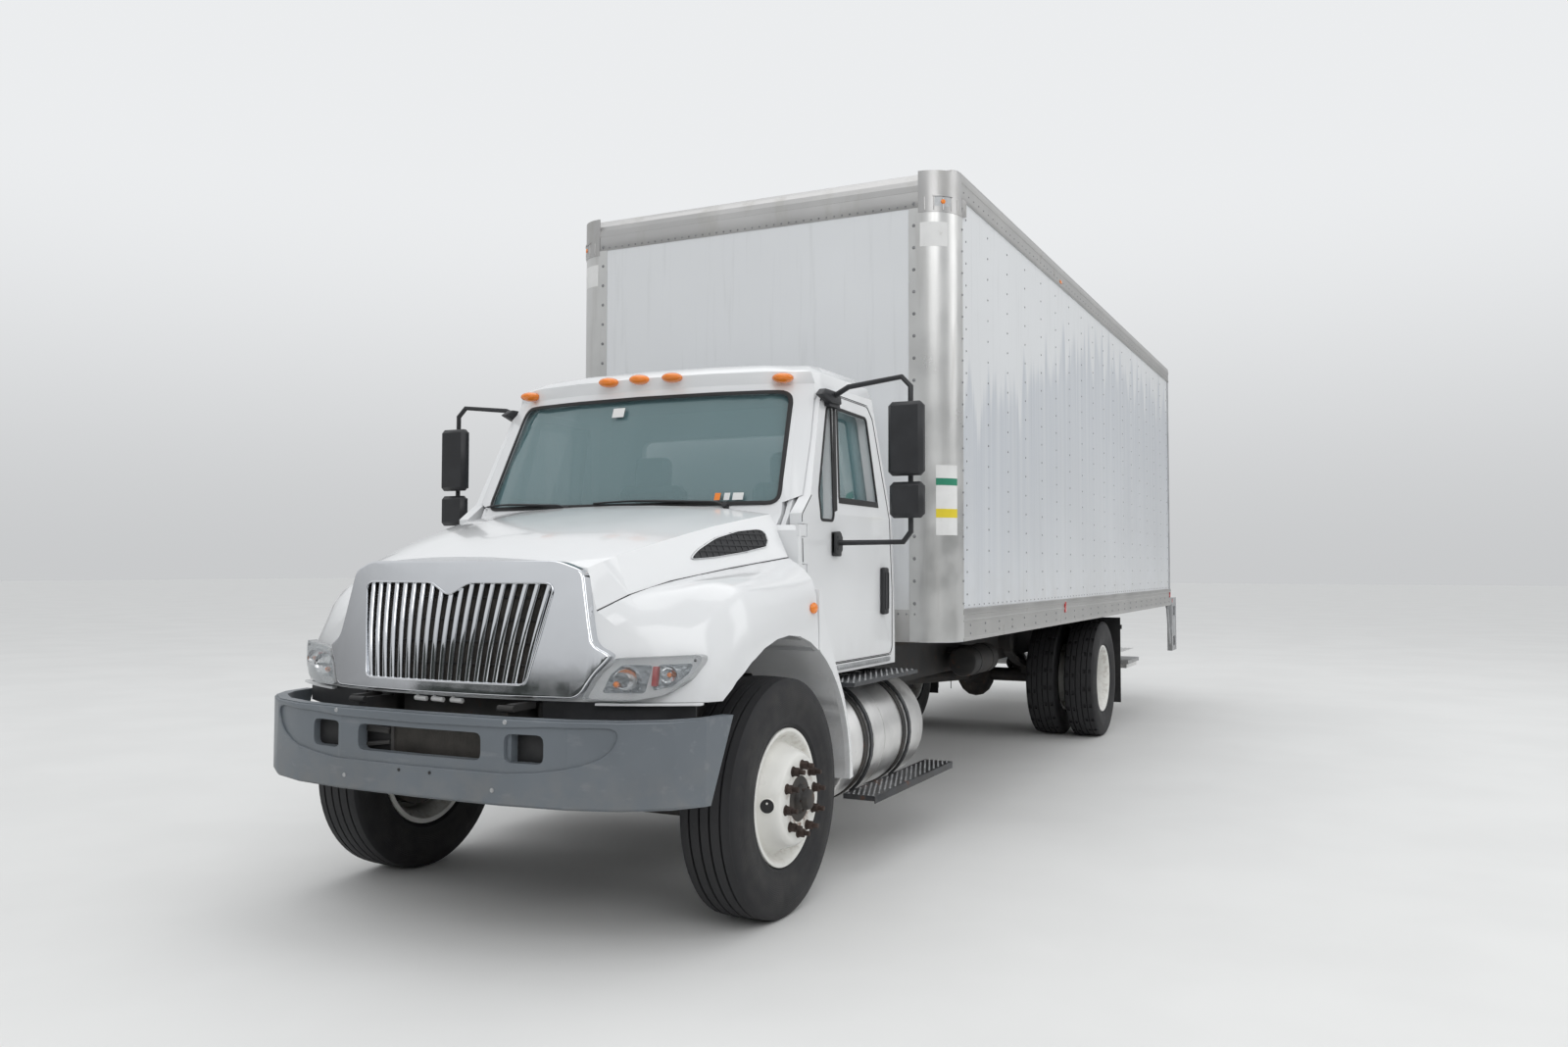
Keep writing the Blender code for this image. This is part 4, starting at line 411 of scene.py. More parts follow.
def make_glass(name, colour, see_through, edge_on):
    """Tinted glass: clear face on, and a mirror of the sky at a glancing angle."""
    shader = Shader(name, colour, 0.03)
    shader.rough_out = shader.ramp(shader.noise(9.0, 5.0), 0.45, 0.8, 0.02, 0.09)
    fresnel = shader.add("ShaderNodeLayerWeight")
    fresnel.inputs["Blend"].default_value = 0.32
    alpha = shader.ramp(fresnel.outputs["Facing"], 0.0, 1.0, see_through, edge_on, False)
    shader.put(shader.base.inputs["Alpha"], alpha)
    shader.set("Coat Weight", 1.0).set("Specular IOR Level", 0.9)
    return shader.made()


def make_rubber(name, centre):
    """Tyre rubber, dusty on its walls and paler where the tread meets the road."""
    shader = Shader(name, (0.010, 0.010, 0.012), 0.64).mottle(7.0, 0.2)
    radius = shader.radius(centre, AXLE_Z)
    wall = shader.product(shader.ramp(radius, 0.30, 0.36),
                          shader.ramp(radius, 0.47, 0.51, 1.0, 0.0))
    dusty = shader.product(wall, shader.patches(11.0, 7.0, 0.35, 0.75), 0.20)
    shader.coat_over(dusty, (0.105, 0.098, 0.088), 0.88)
    tread = shader.ramp(radius, 0.508, 0.517)
    shader.coat_over(shader.product(tread, 0.34), (0.060, 0.060, 0.062), 0.9)
    rings = shader.math("SINE", shader.product(radius, 760.0))
    rings = shader.product(rings, shader.ramp(radius, 0.34, 0.36),
                           shader.ramp(radius, 0.46, 0.48, 1.0, 0.0))
    rough = shader.product(shader.noise(220, 3.0), 0.8)
    return shader.bump(shader.math("ADD", rings, rough), 0.35, 0.0012).made()


def make_wheel_paint(name, centre, colour):
    """Cream wheel paint with rust at the nuts and dirt in the rim's corner."""
    shader = Shader(name, colour, 0.32).mottle(6.0, 0.03)
    radius = shader.radius(centre, AXLE_Z)
    patches = shader.patches(26.0, 7.0, 0.40, 0.72)
    near_nuts = shader.ramp(radius, 0.108, 0.150, 1.0, 0.0)
    shader.coat_over(shader.product(near_nuts, patches), (0.20, 0.10, 0.055), 0.75)
    corner = shader.product(shader.ramp(radius, 0.225, 0.262),
                            shader.ramp(radius, 0.268, 0.292, 1.0, 0.0))
    shader.coat_over(shader.product(corner, patches, 0.35), (0.24, 0.17, 0.11), 0.8)
    shader.coat_over(shader.patches(15.0, 6.0, 0.56, 0.76, 0.10), (0.45, 0.40, 0.33), 0.7)
    return shader.grain(180, 0.06, 0.0005).made()


# Making pieces

def rounded(builder, edges, offset, segments=2, clamp=False):
    """Rounds edges of a builder and gives the faces that this makes."""
    return bmesh.ops.bevel(
        builder, geom=list(edges), offset=offset, segments=segments, profile=0.5,
        affect="EDGES", material=-1, clamp_overlap=clamp,
    )["faces"]


def add_box(builder, low, high, bevel=0.0, segments=2):
    """A block between two corners added to a builder, its edges rounded by a bevel."""
    made = bmesh.ops.create_cube(builder, size=1.0)["verts"]
    low = Vector(low)
    high = Vector(high)
    bmesh.ops.scale(builder, vec=high - low, verts=made)
    bmesh.ops.translate(builder, vec=(low + high) / 2, verts=made)
    if bevel:
        rounded(builder, {edge for vert in made for edge in vert.link_edges}, bevel, segments,
                True)


def add_ball(builder, centre, radii, segments=16, rings=10):
    """A ball, stretched to its three radii, added to a builder."""
    made = bmesh.ops.create_uvsphere(builder, u_segments=segments, v_segments=rings,
                                     radius=1.0)["verts"]
    bmesh.ops.scale(builder, vec=radii, verts=made)
    bmesh.ops.translate(builder, vec=centre, verts=made)


def add_rod(builder, start, end, radius, faces, end_radius=None, material=0, bevel=0.0):
    """A round bar or cone from one point to another, added to a builder."""
    start = Vector(start)
    along = Vector(end) - start
    turn = along.to_track_quat("Z", "Y").to_matrix().to_4x4()
    made = bmesh.ops.create_cone(
        builder, cap_ends=True, segments=faces, radius1=radius,
        radius2=radius if end_radius is None else end_radius, depth=along.length,
        matrix=Matrix.Translation(start + along / 2) @ turn,
    )["verts"]
    touched = {face for vert in made for face in vert.link_faces}
    if bevel:
        rims = {e for v in made for e in v.link_edges if len(e.link_faces) == 2
                and any(len(f.verts) > 4 for f in e.link_faces)}
        touched |= set(rounded(builder, rims, bevel))
    for face in touched:
        if face.is_valid:
            face.material_index = material


def add_heads(builder, points, normal, radius, height):
    """Rivet or bolt heads, each a low cone frustum standing on a surface."""
    normal = Vector(normal).normalized()
    for point in points:
        add_rod(builder, point, Vector(point) + normal * height, radius, 8, radius * 0.6)


def add_spin(builder, profile, centre, steps, closed=True, sign=1):
    """A profile of (radius, distance outwards) spun about an axis along X, on either side."""
    centre = Vector(centre)
    verts = [builder.verts.new(centre + Vector((along * sign, 0, radius)))
             for radius, along in profile]
    edges = [builder.edges.new(pair) for pair in zip(verts, verts[1:])]
    if closed:
        edges.append(builder.edges.new((verts[-1], verts[0])))
    bmesh.ops.spin(
        builder, geom=verts + edges, cent=centre, axis=(1, 0, 0), dvec=(0, 0, 0),
        angle=2 * math.pi, steps=steps, use_merge=True, use_duplicate=False,
    )
    bmesh.ops.remove_doubles(builder, verts=builder.verts, dist=0.00005)
    bmesh.ops.recalc_face_normals(builder, faces=builder.faces)


def add_tube(builder, points, radius, faces):
    """A bent bar: rings along a line, turned at each bend and bridged."""
    points = [Vector(point) for point in points]
    ring = None
    for n, point in enumerate(points):
        before = points[max(0, n - 1)]
        after = points[min(len(points) - 1, n + 1)]
        turn = (after - before).to_track_quat("Z", "Y").to_matrix().to_4x4()
        made = bmesh.ops.create_circle(
            builder, cap_ends=n in (0, len(points) - 1), segments=faces, radius=radius,
            matrix=Matrix.Translation(point) @ turn,
        )["verts"]
        edges = list({edge for vert in made for edge in vert.link_edges})
        if ring:
            bmesh.ops.bridge_loops(builder, edges=ring + edges)
        ring = edges


def round_axle(centre, along, radius, count, shift=0.0):
    """Places in a ring round an axle, each a distance along X from its middle."""
    for n in range(count):
        angle = 2 * math.pi * (n + shift) / count
        yield centre + Vector((along, radius * math.cos(angle), radius * math.sin(angle)))


def corner_curve(before, here, after, radius, steps):
    """The points of a curve in a corner's place that starts a radius from it."""
    first = here + (before - here).normalized() * min(radius, (before - here).length / 2)
    last = here + (after - here).normalized() * min(radius, (after - here).length / 2)
    for k in range(steps + 1):
        t = k / steps
        yield first * (1 - t) ** 2 + here * 2 * t * (1 - t) + last * t ** 2


def bend(points, radius, steps=5):
    """An open line with its corners rounded."""
    points = [Vector(point) for point in points]
    line = [points[0]]
    for corner in zip(points, points[1:], points[2:]):
        line += corner_curve(*corner, radius, steps)
    return line + [points[-1]]


def eased(corners, radius, steps=4):
    """A closed outline with its corners rounded, and no two points in one place."""
    points = [Vector(corner) for corner in corners]
    line = []
    for corner in zip(points[-1:] + points, points, points[1:] + points[:1]):
        for point in corner_curve(*corner, radius, steps):
            if not line or (point - line[-1]).length > SAME_POINT:
                line.append(point)
    if (line[0] - line[-1]).length < SAME_POINT:
        line.pop()
    return [tuple(point) for point in line]


def flat_face(builder, outline, normal, start):
    """An outline's face, which lies across an axis at start."""
    place = {"X": lambda u, v: (start, u, v), "Y": lambda u, v: (u, start, v),
             "Z": lambda u, v: (u, v, start)}[normal]
    return builder.faces.new([builder.verts.new(place(u, v)) for u, v in outline])


def pulled(builder, faces, normal, length, keep):
    """Extrudes faces along an axis and gives the vertices that moved."""
    solid = bmesh.ops.extrude_face_region(builder, geom=faces, use_keep_orig=keep)["geom"]
    moved = [g for g in solid if isinstance(g, bmesh.types.BMVert)]
    step = [length if axis == normal else 0.0 for axis in "XYZ"]
    bmesh.ops.translate(builder, vec=step, verts=moved)
    return moved


def framed(builder, outline, normal, start, end, inward, outward, bevel=0.0):
    """A rim that follows an outline, grown both ways from it, extruded along an axis."""
    face = flat_face(builder, outline, normal, start)
    ring = []
    for thickness, outset in ((outward, True), (inward, False)):
        if thickness:
            ring += bmesh.ops.inset_region(
                builder, faces=[face], thickness=thickness, use_outset=outset,
                use_even_offset=True, use_boundary=True)["faces"]
    bmesh.ops.delete(builder, geom=[face], context="FACES_ONLY")
    moved = pulled(builder, ring, normal, end - start, True)
    touched = {f for v in moved for f in v.link_faces} | set(ring)
    bmesh.ops.recalc_face_normals(builder, faces=list(touched))
    if bevel:
        rounded(builder, {e for f in touched for e in f.edges if len(e.link_faces) == 2
                          and e.calc_face_angle(0) > 1.0}, bevel, 2, True)


def holed_plate(builder, outline, holes, start, end, bevel, segments, inside=False):
    """An outline in X and Z with holes through it, extruded along Y, its rims rounded."""
    edges = []
    for loop in (outline, *holes):
        verts = [builder.verts.new((x, start, z)) for x, z in loop]
        edges += [builder.edges.new(pair) for pair in zip(verts, verts[1:] + verts[:1])]
    filled = bmesh.ops.triangle_fill(builder, edges=edges, use_beauty=True,
                                     normal=(0, -1, 0))["geom"]
    faces = [g for g in filled if isinstance(g, bmesh.types.BMFace)]
    moved = pulled(builder, faces, "Y", end - start, True)
    bmesh.ops.recalc_face_normals(builder, faces=builder.faces)
    outer = {(round(x, 4), round(z, 4)) for x, z in outline}
    rims = {e for v in moved for e in v.link_edges if len(e.link_faces) == 2
            and all(abs(w.co.y - end) < 0.0001 for w in e.verts)
            and (inside or all((round(w.co.x, 4), round(w.co.z, 4)) in outer for w in e.verts))
            and e.calc_face_angle(0) > 1.0}
    rounded(builder, rims, bevel, segments)


def outline_plate(builder, outline, normal, start, end, bevel=0.0):
    """A flat outline extruded along an axis from start to end."""
    face = flat_face(builder, outline, normal, start)
    moved = pulled(builder, [face], normal, end - start, False)
    touched = {f for v in moved for f in v.link_faces} | {face}
    bmesh.ops.recalc_face_normals(builder, faces=list(touched))
    if bevel:
        rounded(builder, {e for f in touched for e in f.edges}, bevel, 2, True)


def sliced(builder, cuts, axis=(1, 0, 0)):
    """Cuts a builder by planes across an axis, so that it can be bent."""
    normal = Vector(axis)
    for cut_at in cuts:
        geometry = builder.verts[:] + builder.edges[:] + builder.faces[:]
        bmesh.ops.bisect_plane(builder, geom=geometry, plane_co=normal * cut_at,
                               plane_no=normal, dist=0.00001)


def read_off(spots, x):
    """A value between (place, value) spots that straight lines join."""
    for (first_x, first), (last_x, last) in zip(spots, spots[1:]):
        if x <= last_x:
            return first + (last - first) * (x - first_x) / (last_x - first_x)
    raise ValueError(f"{x} lies past the last spot")


def nose_y(x, z, stand_off):
    """Where the hood's swept front lies, with a piece set stand_off ahead of it."""
    back = 0.300 * (abs(x) / 1.1) ** 2.5 + 0.160 * (z - 0.985)
    return -0.900 + back - stand_off


def on_nose(builder):
    """Bends flat pieces, drawn with y as minus their stand-off, to the hood's front."""
    sliced(builder, [n * 0.055 for n in range(-20, 21)])
    for vert in builder.verts:
        vert.co.y = nose_y(vert.co.x, vert.co.z, -vert.co.y)


BUMPER_PLAN = ((0.0, -1.060), (0.420, -1.048), (0.700, -1.010), (0.900, -0.940),
               (1.050, -0.830), (1.130, -0.710))


def bumper_y(x):
    """Where the bumper's front lies."""
    return read_off(BUMPER_PLAN, min(abs(x), BUMPER_PLAN[-1][0]))


def on_bumper(builder):
    """Bends a flat skin round the bumper's front and thins it out towards both ends."""
    cuts = {x for x, _ in BUMPER_PLAN[1:-1]} | {1.075, 1.100}
    sliced(builder, sorted(cuts | {-x for x in cuts} | {0.0}))
    for vert in builder.verts:
        fade = min(1.0, max(0.06, (1.128 - abs(vert.co.x)) / 0.060))
        ahead = vert.co.y if vert.co.y > 0 else vert.co.y * fade
        vert.co.y = bumper_y(vert.co.x) + ahead


def screen_y(x, z):
    """Where the cab's front lies at the windshield."""
    t = (z - BELT_LINE) / 0.660
    width = 1.030 - 0.078 * t
    front = 0.325 + 0.235 * t
    setback = 0.080 + 0.060 * t
    spots = ((0.0, 0.0), (0.45 * width, 0.18), (0.75 * width, 0.55),
             (width - 0.100 - 0.010 * t, 1.0))
    x = abs(x)
    if x > spots[-1][0]:
        return front + setback * (1.0 + 2.2 * (x - spots[-1][0]) / 0.1)
    return front + setback * read_off(spots, x)


def on_screen(builder):
    """Bends flat pieces, drawn with y as minus their stand-off, to the windshield."""
    sliced(builder, [n * 0.0772 for n in range(-12, 13)])
    sliced(builder, [1.80 + n * 0.1 for n in range(8)], (0, 0, 1))
    for vert in builder.verts:
        vert.co.y = screen_y(vert.co.x, vert.co.z) + vert.co.y


def lean_in(builder):
    """Leans what lies above the belt line in with the cab's side."""
    sliced(builder, (BELT_LINE,), (0, 0, 1))
    for vert in builder.verts:
        above = max(0.0, vert.co.z - BELT_LINE)
        vert.co.x -= math.copysign(above * SIDE_LEAN, vert.co.x)


def hood_side_x(y, z):
    """The hood's upper side panel, between its crest and the seam above the fender."""
    t = (y + 0.05) / 0.35
    crest = (0.79 + 0.10 * t, 1.700 + 0.065 * t)
    seam = (0.87 + 0.115 * t, 1.510 + 0.050 * t)
    share = (crest[1] - z) / (crest[1] - seam[1])
    return crest[0] + share * (seam[0] - crest[0])


def on_hood_side(builder):
    """Bends flat pieces, drawn with x as their stand-off, to the hood's side."""
    sliced(builder, [-0.3 + n * 0.03 for n in range(20)], (0, 1, 0))
    shell = bmesh.new()
    shell.from_mesh(NODES["hood"].data)
    tree = BVHTree.FromBMesh(shell)
    shell.free()
    for vert in builder.verts:
        near = hood_side_x(vert.co.y, vert.co.z)
        start = Vector((near + 0.08, vert.co.y + FRONT_AXLE_Y, vert.co.z))
        hit = tree.ray_cast(start, Vector((-1, 0, 0)), 0.16)[0]
        vert.co.x += hit.x if hit else near


def span(outline, value, axis):
    """The lowest and highest crossing of an outline with a line across one axis."""
    crossings = []
    for first, last in zip(outline, outline[1:] + outline[:1]):
        if (first[axis] - value) * (last[axis] - value) < 0:
            t = (value - first[axis]) / (last[axis] - first[axis])
            crossings.append(first[1 - axis] + t * (last[1 - axis] - first[1 - axis]))
    return min(crossings), max(crossings)


def mirrored(builder):
    """The same shapes on the truck's other side, added to the builder."""
    geometry = builder.verts[:] + builder.edges[:] + builder.faces[:]
    copied = bmesh.ops.duplicate(builder, geom=geometry)["geom"]
    verts = [g for g in copied if isinstance(g, bmesh.types.BMVert)]
    faces = [g for g in copied if isinstance(g, bmesh.types.BMFace)]
    bmesh.ops.scale(builder, vec=(-1, 1, 1), verts=verts)
    bmesh.ops.reverse_faces(builder, faces=faces)
    return builder


def flipped(builder):
    """A copy of the builder on the truck's other side."""
    other = builder.copy()
    bmesh.ops.scale(other, vec=(-1, 1, 1), verts=other.verts)
    bmesh.ops.reverse_faces(other, faces=other.faces)
    return other


def as_object(name, builder, finishes, angle=None):
    """A new object from a builder, smooth except at edges sharper than an angle."""
    mesh = bpy.data.meshes.new(name)
    builder.to_mesh(mesh)
    builder.free()
    for finish in finishes:
        mesh.materials.append(finish)
    if angle is not None:
        mesh.shade_smooth()
        mesh.set_sharp_from_angle(angle=math.radians(angle))
    made = bpy.data.objects.new(name, mesh)
    bpy.context.scene.collection.objects.link(made)
    return made


def piece(name, builder, body, finishes, angle=38):
    """Makes a builder a finished piece that rides on a body."""
    bmesh.ops.translate(builder, vec=(0, FRONT_AXLE_Y, 0), verts=builder.verts)
    bmesh.ops.recalc_face_normals(builder, faces=builder.faces)
    names = [finishes] if isinstance(finishes, str) else finishes
    made = as_object(name, builder, [FINISH[finish] for finish in names], angle)
    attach(made, body)
    return made


def evened(made):
    """Lets a piece's large faces lead its shading, so that they look flat beside bevels."""
    normals = made.modifiers.new("normals", "WEIGHTED_NORMAL")
    normals.keep_sharp = True
    return made


def piece_pair(name, builder, body, finishes, angle):
    """The left piece and its mirror image, each on its own side's body."""
    for side, shape in (("left", builder.copy()), ("right", flipped(builder))):
        piece(f"{name}_{side}", shape, body.format(side), finishes, angle)
    builder.free()


def dressed(node, finish, bevel, angle=30):
    """A merged copy of a CAD node with small round edges, standing for the node."""
    source = NODES[node]
    builder = bmesh.new()
    builder.from_mesh(source.data)
    bmesh.ops.remove_doubles(builder, verts=builder.verts, dist=0.00002)
    bmesh.ops.dissolve_limit(
        builder, angle_limit=math.radians(0.6), verts=builder.verts, edges=builder.edges,
        use_dissolve_boundaries=False,
    )
    made = as_object(node + "_dressed", builder, [FINISH[finish]], angle)
    edge = made.modifiers.new("edges", "BEVEL")
    edge.width = bevel
    edge.segments = 2
    edge.limit_method = "ANGLE"
    edge.angle_limit = math.radians(angle)
    edge.use_clamp_overlap = True
    edge.harden_normals = True
    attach(made, source["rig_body"])
    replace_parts(made, node)
    return made


FINISH = {}


class BoxTruckOperator(bpy.types.Operator):
    """Shared base of the truck's operators."""

    bl_options = {"REGISTER", "UNDO"}

    def execute(self, context):
        self.build()
        return {"FINISHED"}


class TRUCK_OT_finishes(BoxTruckOperator):
    """Makes the finishes and gives each CAD node the one that it shows."""

    bl_idname = "truck.finishes"
    bl_label = "Finishes"

    def build(self):
        FINISH.update(make_finishes(bpy.context.scene.truck_colours))
        table = {
            "black": ("chassis_frame", "front_axle", "rear_axle", "drive_shaft", "tie_rod",
                      "steering_knuckle_left", "steering_knuckle_right", "battery_box",
                      "exhaust_muffler", "gate_mount", "lift_arms"),
            "step": ("side_step",),
            "iron": ("engine_and_gearbox", "radiator"),
            "glass": ("windshield", "door_glass_left", "door_glass_right"),
            "grey": ("dashboard", "steering_wheel", "seat_left", "seat_right"),
            "plastic": ("mirror_left", "mirror_right"),
            "rubber": ("mudflap_left", "mudflap_right"),
            "wood": ("body_floor",),
            "panel": ("body_front_wall", "body_side_left", "body_side_right", "rear_door"),
            "header": ("body_roof",),
            "zinc": ("body_rear_frame", "gate_frame", "lift_platform"),
            "tank": ("fuel_tank", "lift_flip_over"),
            "bumper": ("front_bumper",),
            "chrome": ("grille",),
            "lens": ("headlamp_left", "headlamp_right"),
            "cab": ("cab", "door_left", "door_right", "hood", "splash_panel_left",
                    "splash_panel_right"),
            "tyre_front": ("front_tyre_left", "front_tyre_right"),
            "tyre_rear": ("rear_tyre_outer_left", "rear_tyre_outer_right",
                          "rear_tyre_inner_left", "rear_tyre_inner_right"),
            "wheel_front": ("front_wheel_left", "front_wheel_right"),
            "wheel_rear": ("rear_wheel_left", "rear_wheel_right"),
        }
        for finish, names in table.items():
            for name in names:
                mesh = NODES[name].data
                mesh.materials.clear()
                mesh.materials.append(FINISH[finish])
        for name in ("cab", "door_left", "door_right", "splash_panel_left",
                     "splash_panel_right"):
            dressed(name, "cab", 0.004)
        dressed("front_bumper", "bumper", 0.004)


class TRUCK_OT_tyres(BoxTruckOperator):
    """Six tyres with straight grooves in front and blocks on the rear axle."""

    bl_idname = "truck.tyres"
    bl_label = "Tyres"

    def build(self):
        for side, sign in SIDES:
            self.tyre(f"front_tyre_{side}", (sign * FRONT_WHEEL_X, 0, AXLE_Z),
                      f"{side}_front_wheel", 72, False)
            for place in ("outer", "inner"):
                name = f"rear_tyre_{place}_{side}"
                low, high = node_box(name)
                self.tyre(name, ((low.x + high.x) / 2, WHEELBASE, AXLE_Z),
                          f"{side}_rear_wheels", TREAD_STEPS, True)

    def tyre(self, name, centre, body, steps, blocks):
        """One grooved tyre that stands on the ground."""
        sizes = bpy.context.scene.truck_sizes
        radius = sizes.tyre_radius
        floor = radius - sizes.groove_depth
        wall = [
            (0.288, 0.086), (0.300, 0.103), (0.306, 0.112), (0.318, 0.122), (0.322, 0.1215),
            (0.352, 0.1315), (0.356, 0.1330), (0.398, 0.1375), (0.402, 0.1388),
            (0.442, 0.1385), (0.446, 0.1370), (0.470, 0.1325), (0.492, 0.1265),
            (0.505, 0.1200), (0.513, 0.1120),
        ]
        tread = []
        for edge_low, edge_high in ((0.066, 0.076), (0.018, 0.028)):
            top = radius - 0.004 * edge_high / 0.1
            tread += [(top, edge_high), (floor, edge_high - 0.002), (floor, edge_low + 0.002),
                      (top, edge_low)]
        half = wall + tread
        profile = half + [(r, -a) for r, a in reversed(half)] + [(0.300, 0.0)]
        builder = bmesh.new()
        add_spin(builder, profile, centre, steps)
        if blocks:
            self.cut_blocks(builder, Vector(centre), radius, radius - floor)
        for vert in builder.verts:
            vert.co.z = max(vert.co.z, 0.0006)
        made = piece(name + "_rubber", builder, body,
                     "tyre_rear" if blocks else "tyre_front", 30)
        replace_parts(made, name)

    def cut_blocks(self, builder, centre, radius, depth):
        """Sinks every fourth face of each rib, which leaves tread blocks."""
        sunk = []
        for face in builder.faces:
            middle = face.calc_center_median() - centre
            spread = math.hypot(middle.y, middle.z)
            if spread < radius - 0.009 or abs(middle.x) < 0.018:
                continue
            share = math.atan2(middle.z, middle.y) / (2 * math.pi)
            step = round(share * TREAD_STEPS - 0.5)
            if (step + (1 if middle.x > 0 else 0)) % 4 == 0:
                sunk.append(face)
        bmesh.ops.inset_individual(builder, faces=sunk, thickness=0.0015, depth=-depth * 0.8)


class TRUCK_OT_wheels(BoxTruckOperator):
    """Disc wheels with hand holes, hubs, brake drums, studs and nuts."""

    bl_idname = "truck.wheels"
    bl_label = "Wheels"

    def build(self):
        for side, sign in SIDES:
            self.front(side, sign, f"{side}_front_wheel")
            self.rear(side, sign, f"{side}_rear_wheels")

    def spun(self, name, profile, centre, steps, body, slot, finishes, angle=38):
        """A piece that is round about the wheel's axle."""
        builder = bmesh.new()
        add_spin(builder, profile, centre, steps, sign=math.copysign(1, centre.x))
        return piece(name, builder, body, finishes, angle)

    def front(self, side, sign, body):
        face = 0.168
        section = [
            (0.060, face + 0.004), (0.100, face + 0.010), (0.112, face + 0.012),
            (0.176, face + 0.012), (0.187, face + 0.009), (0.196, face + 0.002),
            (0.204, face - 0.010), (0.212, face - 0.034), (0.222, face - 0.062),
            (0.232, face - 0.088), (0.240, 0.066), (0.248, 0.062), (0.256, 0.068),
            (0.266, 0.088), *RIM_LIP, (0.286, 0.080), (0.252, 0.050), (0.252, -0.055),
            (0.286, -0.103), (0.2985, -0.104), (0.2985, -0.114), (0.276, -0.114),
            (0.241, -0.050), (0.241, 0.040), (0.218, face - 0.102), (0.190, face - 0.016),
            (0.176, face - 0.002), (0.060, face - 0.004),
        ]
        centre = Vector((FRONT_WHEEL_X * sign, 0, AXLE_Z))
        rim = self.spun(f"front_rim_{side}", section, centre, 80, body, "wheel_paint",
                        ["wheel_front", "rubber"], 30)
        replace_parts(rim, f"front_wheel_{side}")
        hub = bmesh.new()
        profile = [
            (0.0, 0.066), (0.034, 0.066), (0.040, 0.063), (0.043, 0.056), (0.046, 0.040),
            (0.056, 0.036), (0.060, 0.028), (0.062, 0.016), (0.094, 0.013), (0.100, 0.008),
            (0.100, -0.030), (0.0, -0.030),
        ]
        add_spin(hub, [(r, face + a) for r, a in profile], centre, 40, False, sign)
        drum = [(0.206, face - 0.094), (0.206, -0.055), (0.120, -0.055), (0.120, face - 0.094)]
        self.spun(f"front_drum_{side}", drum, centre, 48, body, "cast_iron", "iron")
        piece(f"front_hub_{side}", hub, body, "black")
        self.nuts(f"front_nuts_{side}", centre, (face + 0.0115) * sign, sign, body)
        self.hand_holes(f"front_hand_holes_{side}", centre, (face - 0.038) * sign, 0.2140,
                        (0.34 * sign, 0.94), body)
        cap = bmesh.new()
        for spot in round_axle(centre, (face + 0.034) * sign, 0.051, 6):
            add_rod(cap, spot, spot + Vector((0.009 * sign, 0, 0)), 0.0055, 6)
        piece(f"front_cap_bolts_{side}", cap, body, "rust")

    def rear(self, side, sign, body):
        mid = 0.170
        section = [
            (0.060, 0.014), (0.180, 0.016), (0.192, 0.018), (0.204, 0.028), (0.214, 0.050),
            (0.224, 0.078), (0.232, 0.100), (0.240, mid - 0.050), (0.241, mid + 0.040),
            (0.262, mid + 0.085), *((r, mid + a) for r, a in RIM_LIP), (0.252, mid + 0.050),
            (0.252, mid - 0.055), (0.286, mid - 0.103), (0.2985, mid - 0.104),
            (0.2985, mid - 0.114), (0.276, mid - 0.114), (0.236, 0.088), (0.214, 0.030),
            (0.200, 0.004), (0.205, 0.0),
        ]
        section += [(r, -a) for r, a in reversed(section[:-1])]
        centre = Vector((REAR_WHEEL_X * sign, WHEELBASE, AXLE_Z))
        rim = self.spun(f"rear_rims_{side}", section, centre, 72, body, "wheel_paint",
                        ["wheel_rear", "rubber"], 30)
        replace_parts(rim, f"rear_wheel_{side}")
        hub = bmesh.new()
        profile = [
            (0.0, 0.150), (0.050, 0.150), (0.056, 0.147), (0.060, 0.140), (0.084, 0.138),
            (0.090, 0.132), (0.092, 0.100), (0.104, 0.092), (0.106, 0.016), (0.106, -0.06),
            (0.0, -0.06),
        ]
        add_spin(hub, profile, centre, 40, False, sign)
        bolts = round_axle(centre, 0.136 * sign, 0.074, 8)
        add_heads(hub, bolts, (sign, 0, 0), 0.009, 0.010)
        piece(f"rear_hub_{side}", hub, body, "black")
        drum = [(0.206, -0.110), (0.206, -0.230), (0.080, -0.230), (0.080, -0.110)]
        self.spun(f"rear_drum_{side}", drum, centre, 48, body, "cast_iron", "iron")
        self.nuts(f"rear_nuts_{side}", centre, 0.0155 * sign, sign, body)
        self.hand_holes(f"rear_hand_holes_{side}", centre, 0.064 * sign, 0.2190,
                        (0.36 * sign, -0.93), body)

    def hand_holes(self, name, centre, along, radius, lean, body):
        """Two dark round openings in a disc, each painted as a black disc of shade, with its rolled
        rim and a valve.
        """
        builder = bmesh.new()
        for angle in (math.pi, 0.0):
            turn = Vector((0, math.cos(angle), math.sin(angle)))
            spot = centre + Vector((along, 0, 0)) + turn * radius
            normal = Vector((lean[0], 0, 0)) + turn * lean[1]
            # The black rubber discs inside the rim are painted shade for the view through each
            # hole.
            add_rod(builder, spot - normal * 0.006, spot + normal * 0.0030, 0.0300, 32)
            add_rod(builder, spot - normal * 0.006, spot + normal * 0.0055, 0.0345, 32, 0.0325,
                    material=1)
            add_rod(builder, spot, spot + normal * 0.0060, 0.0295, 32)
            valve = spot + Vector((0, 0, 0.012))
            add_rod(builder, valve, valve + normal * 0.012, 0.0045, 8, material=1)
        piece(name, builder, body, ["rubber", "wheel_front"], 40)

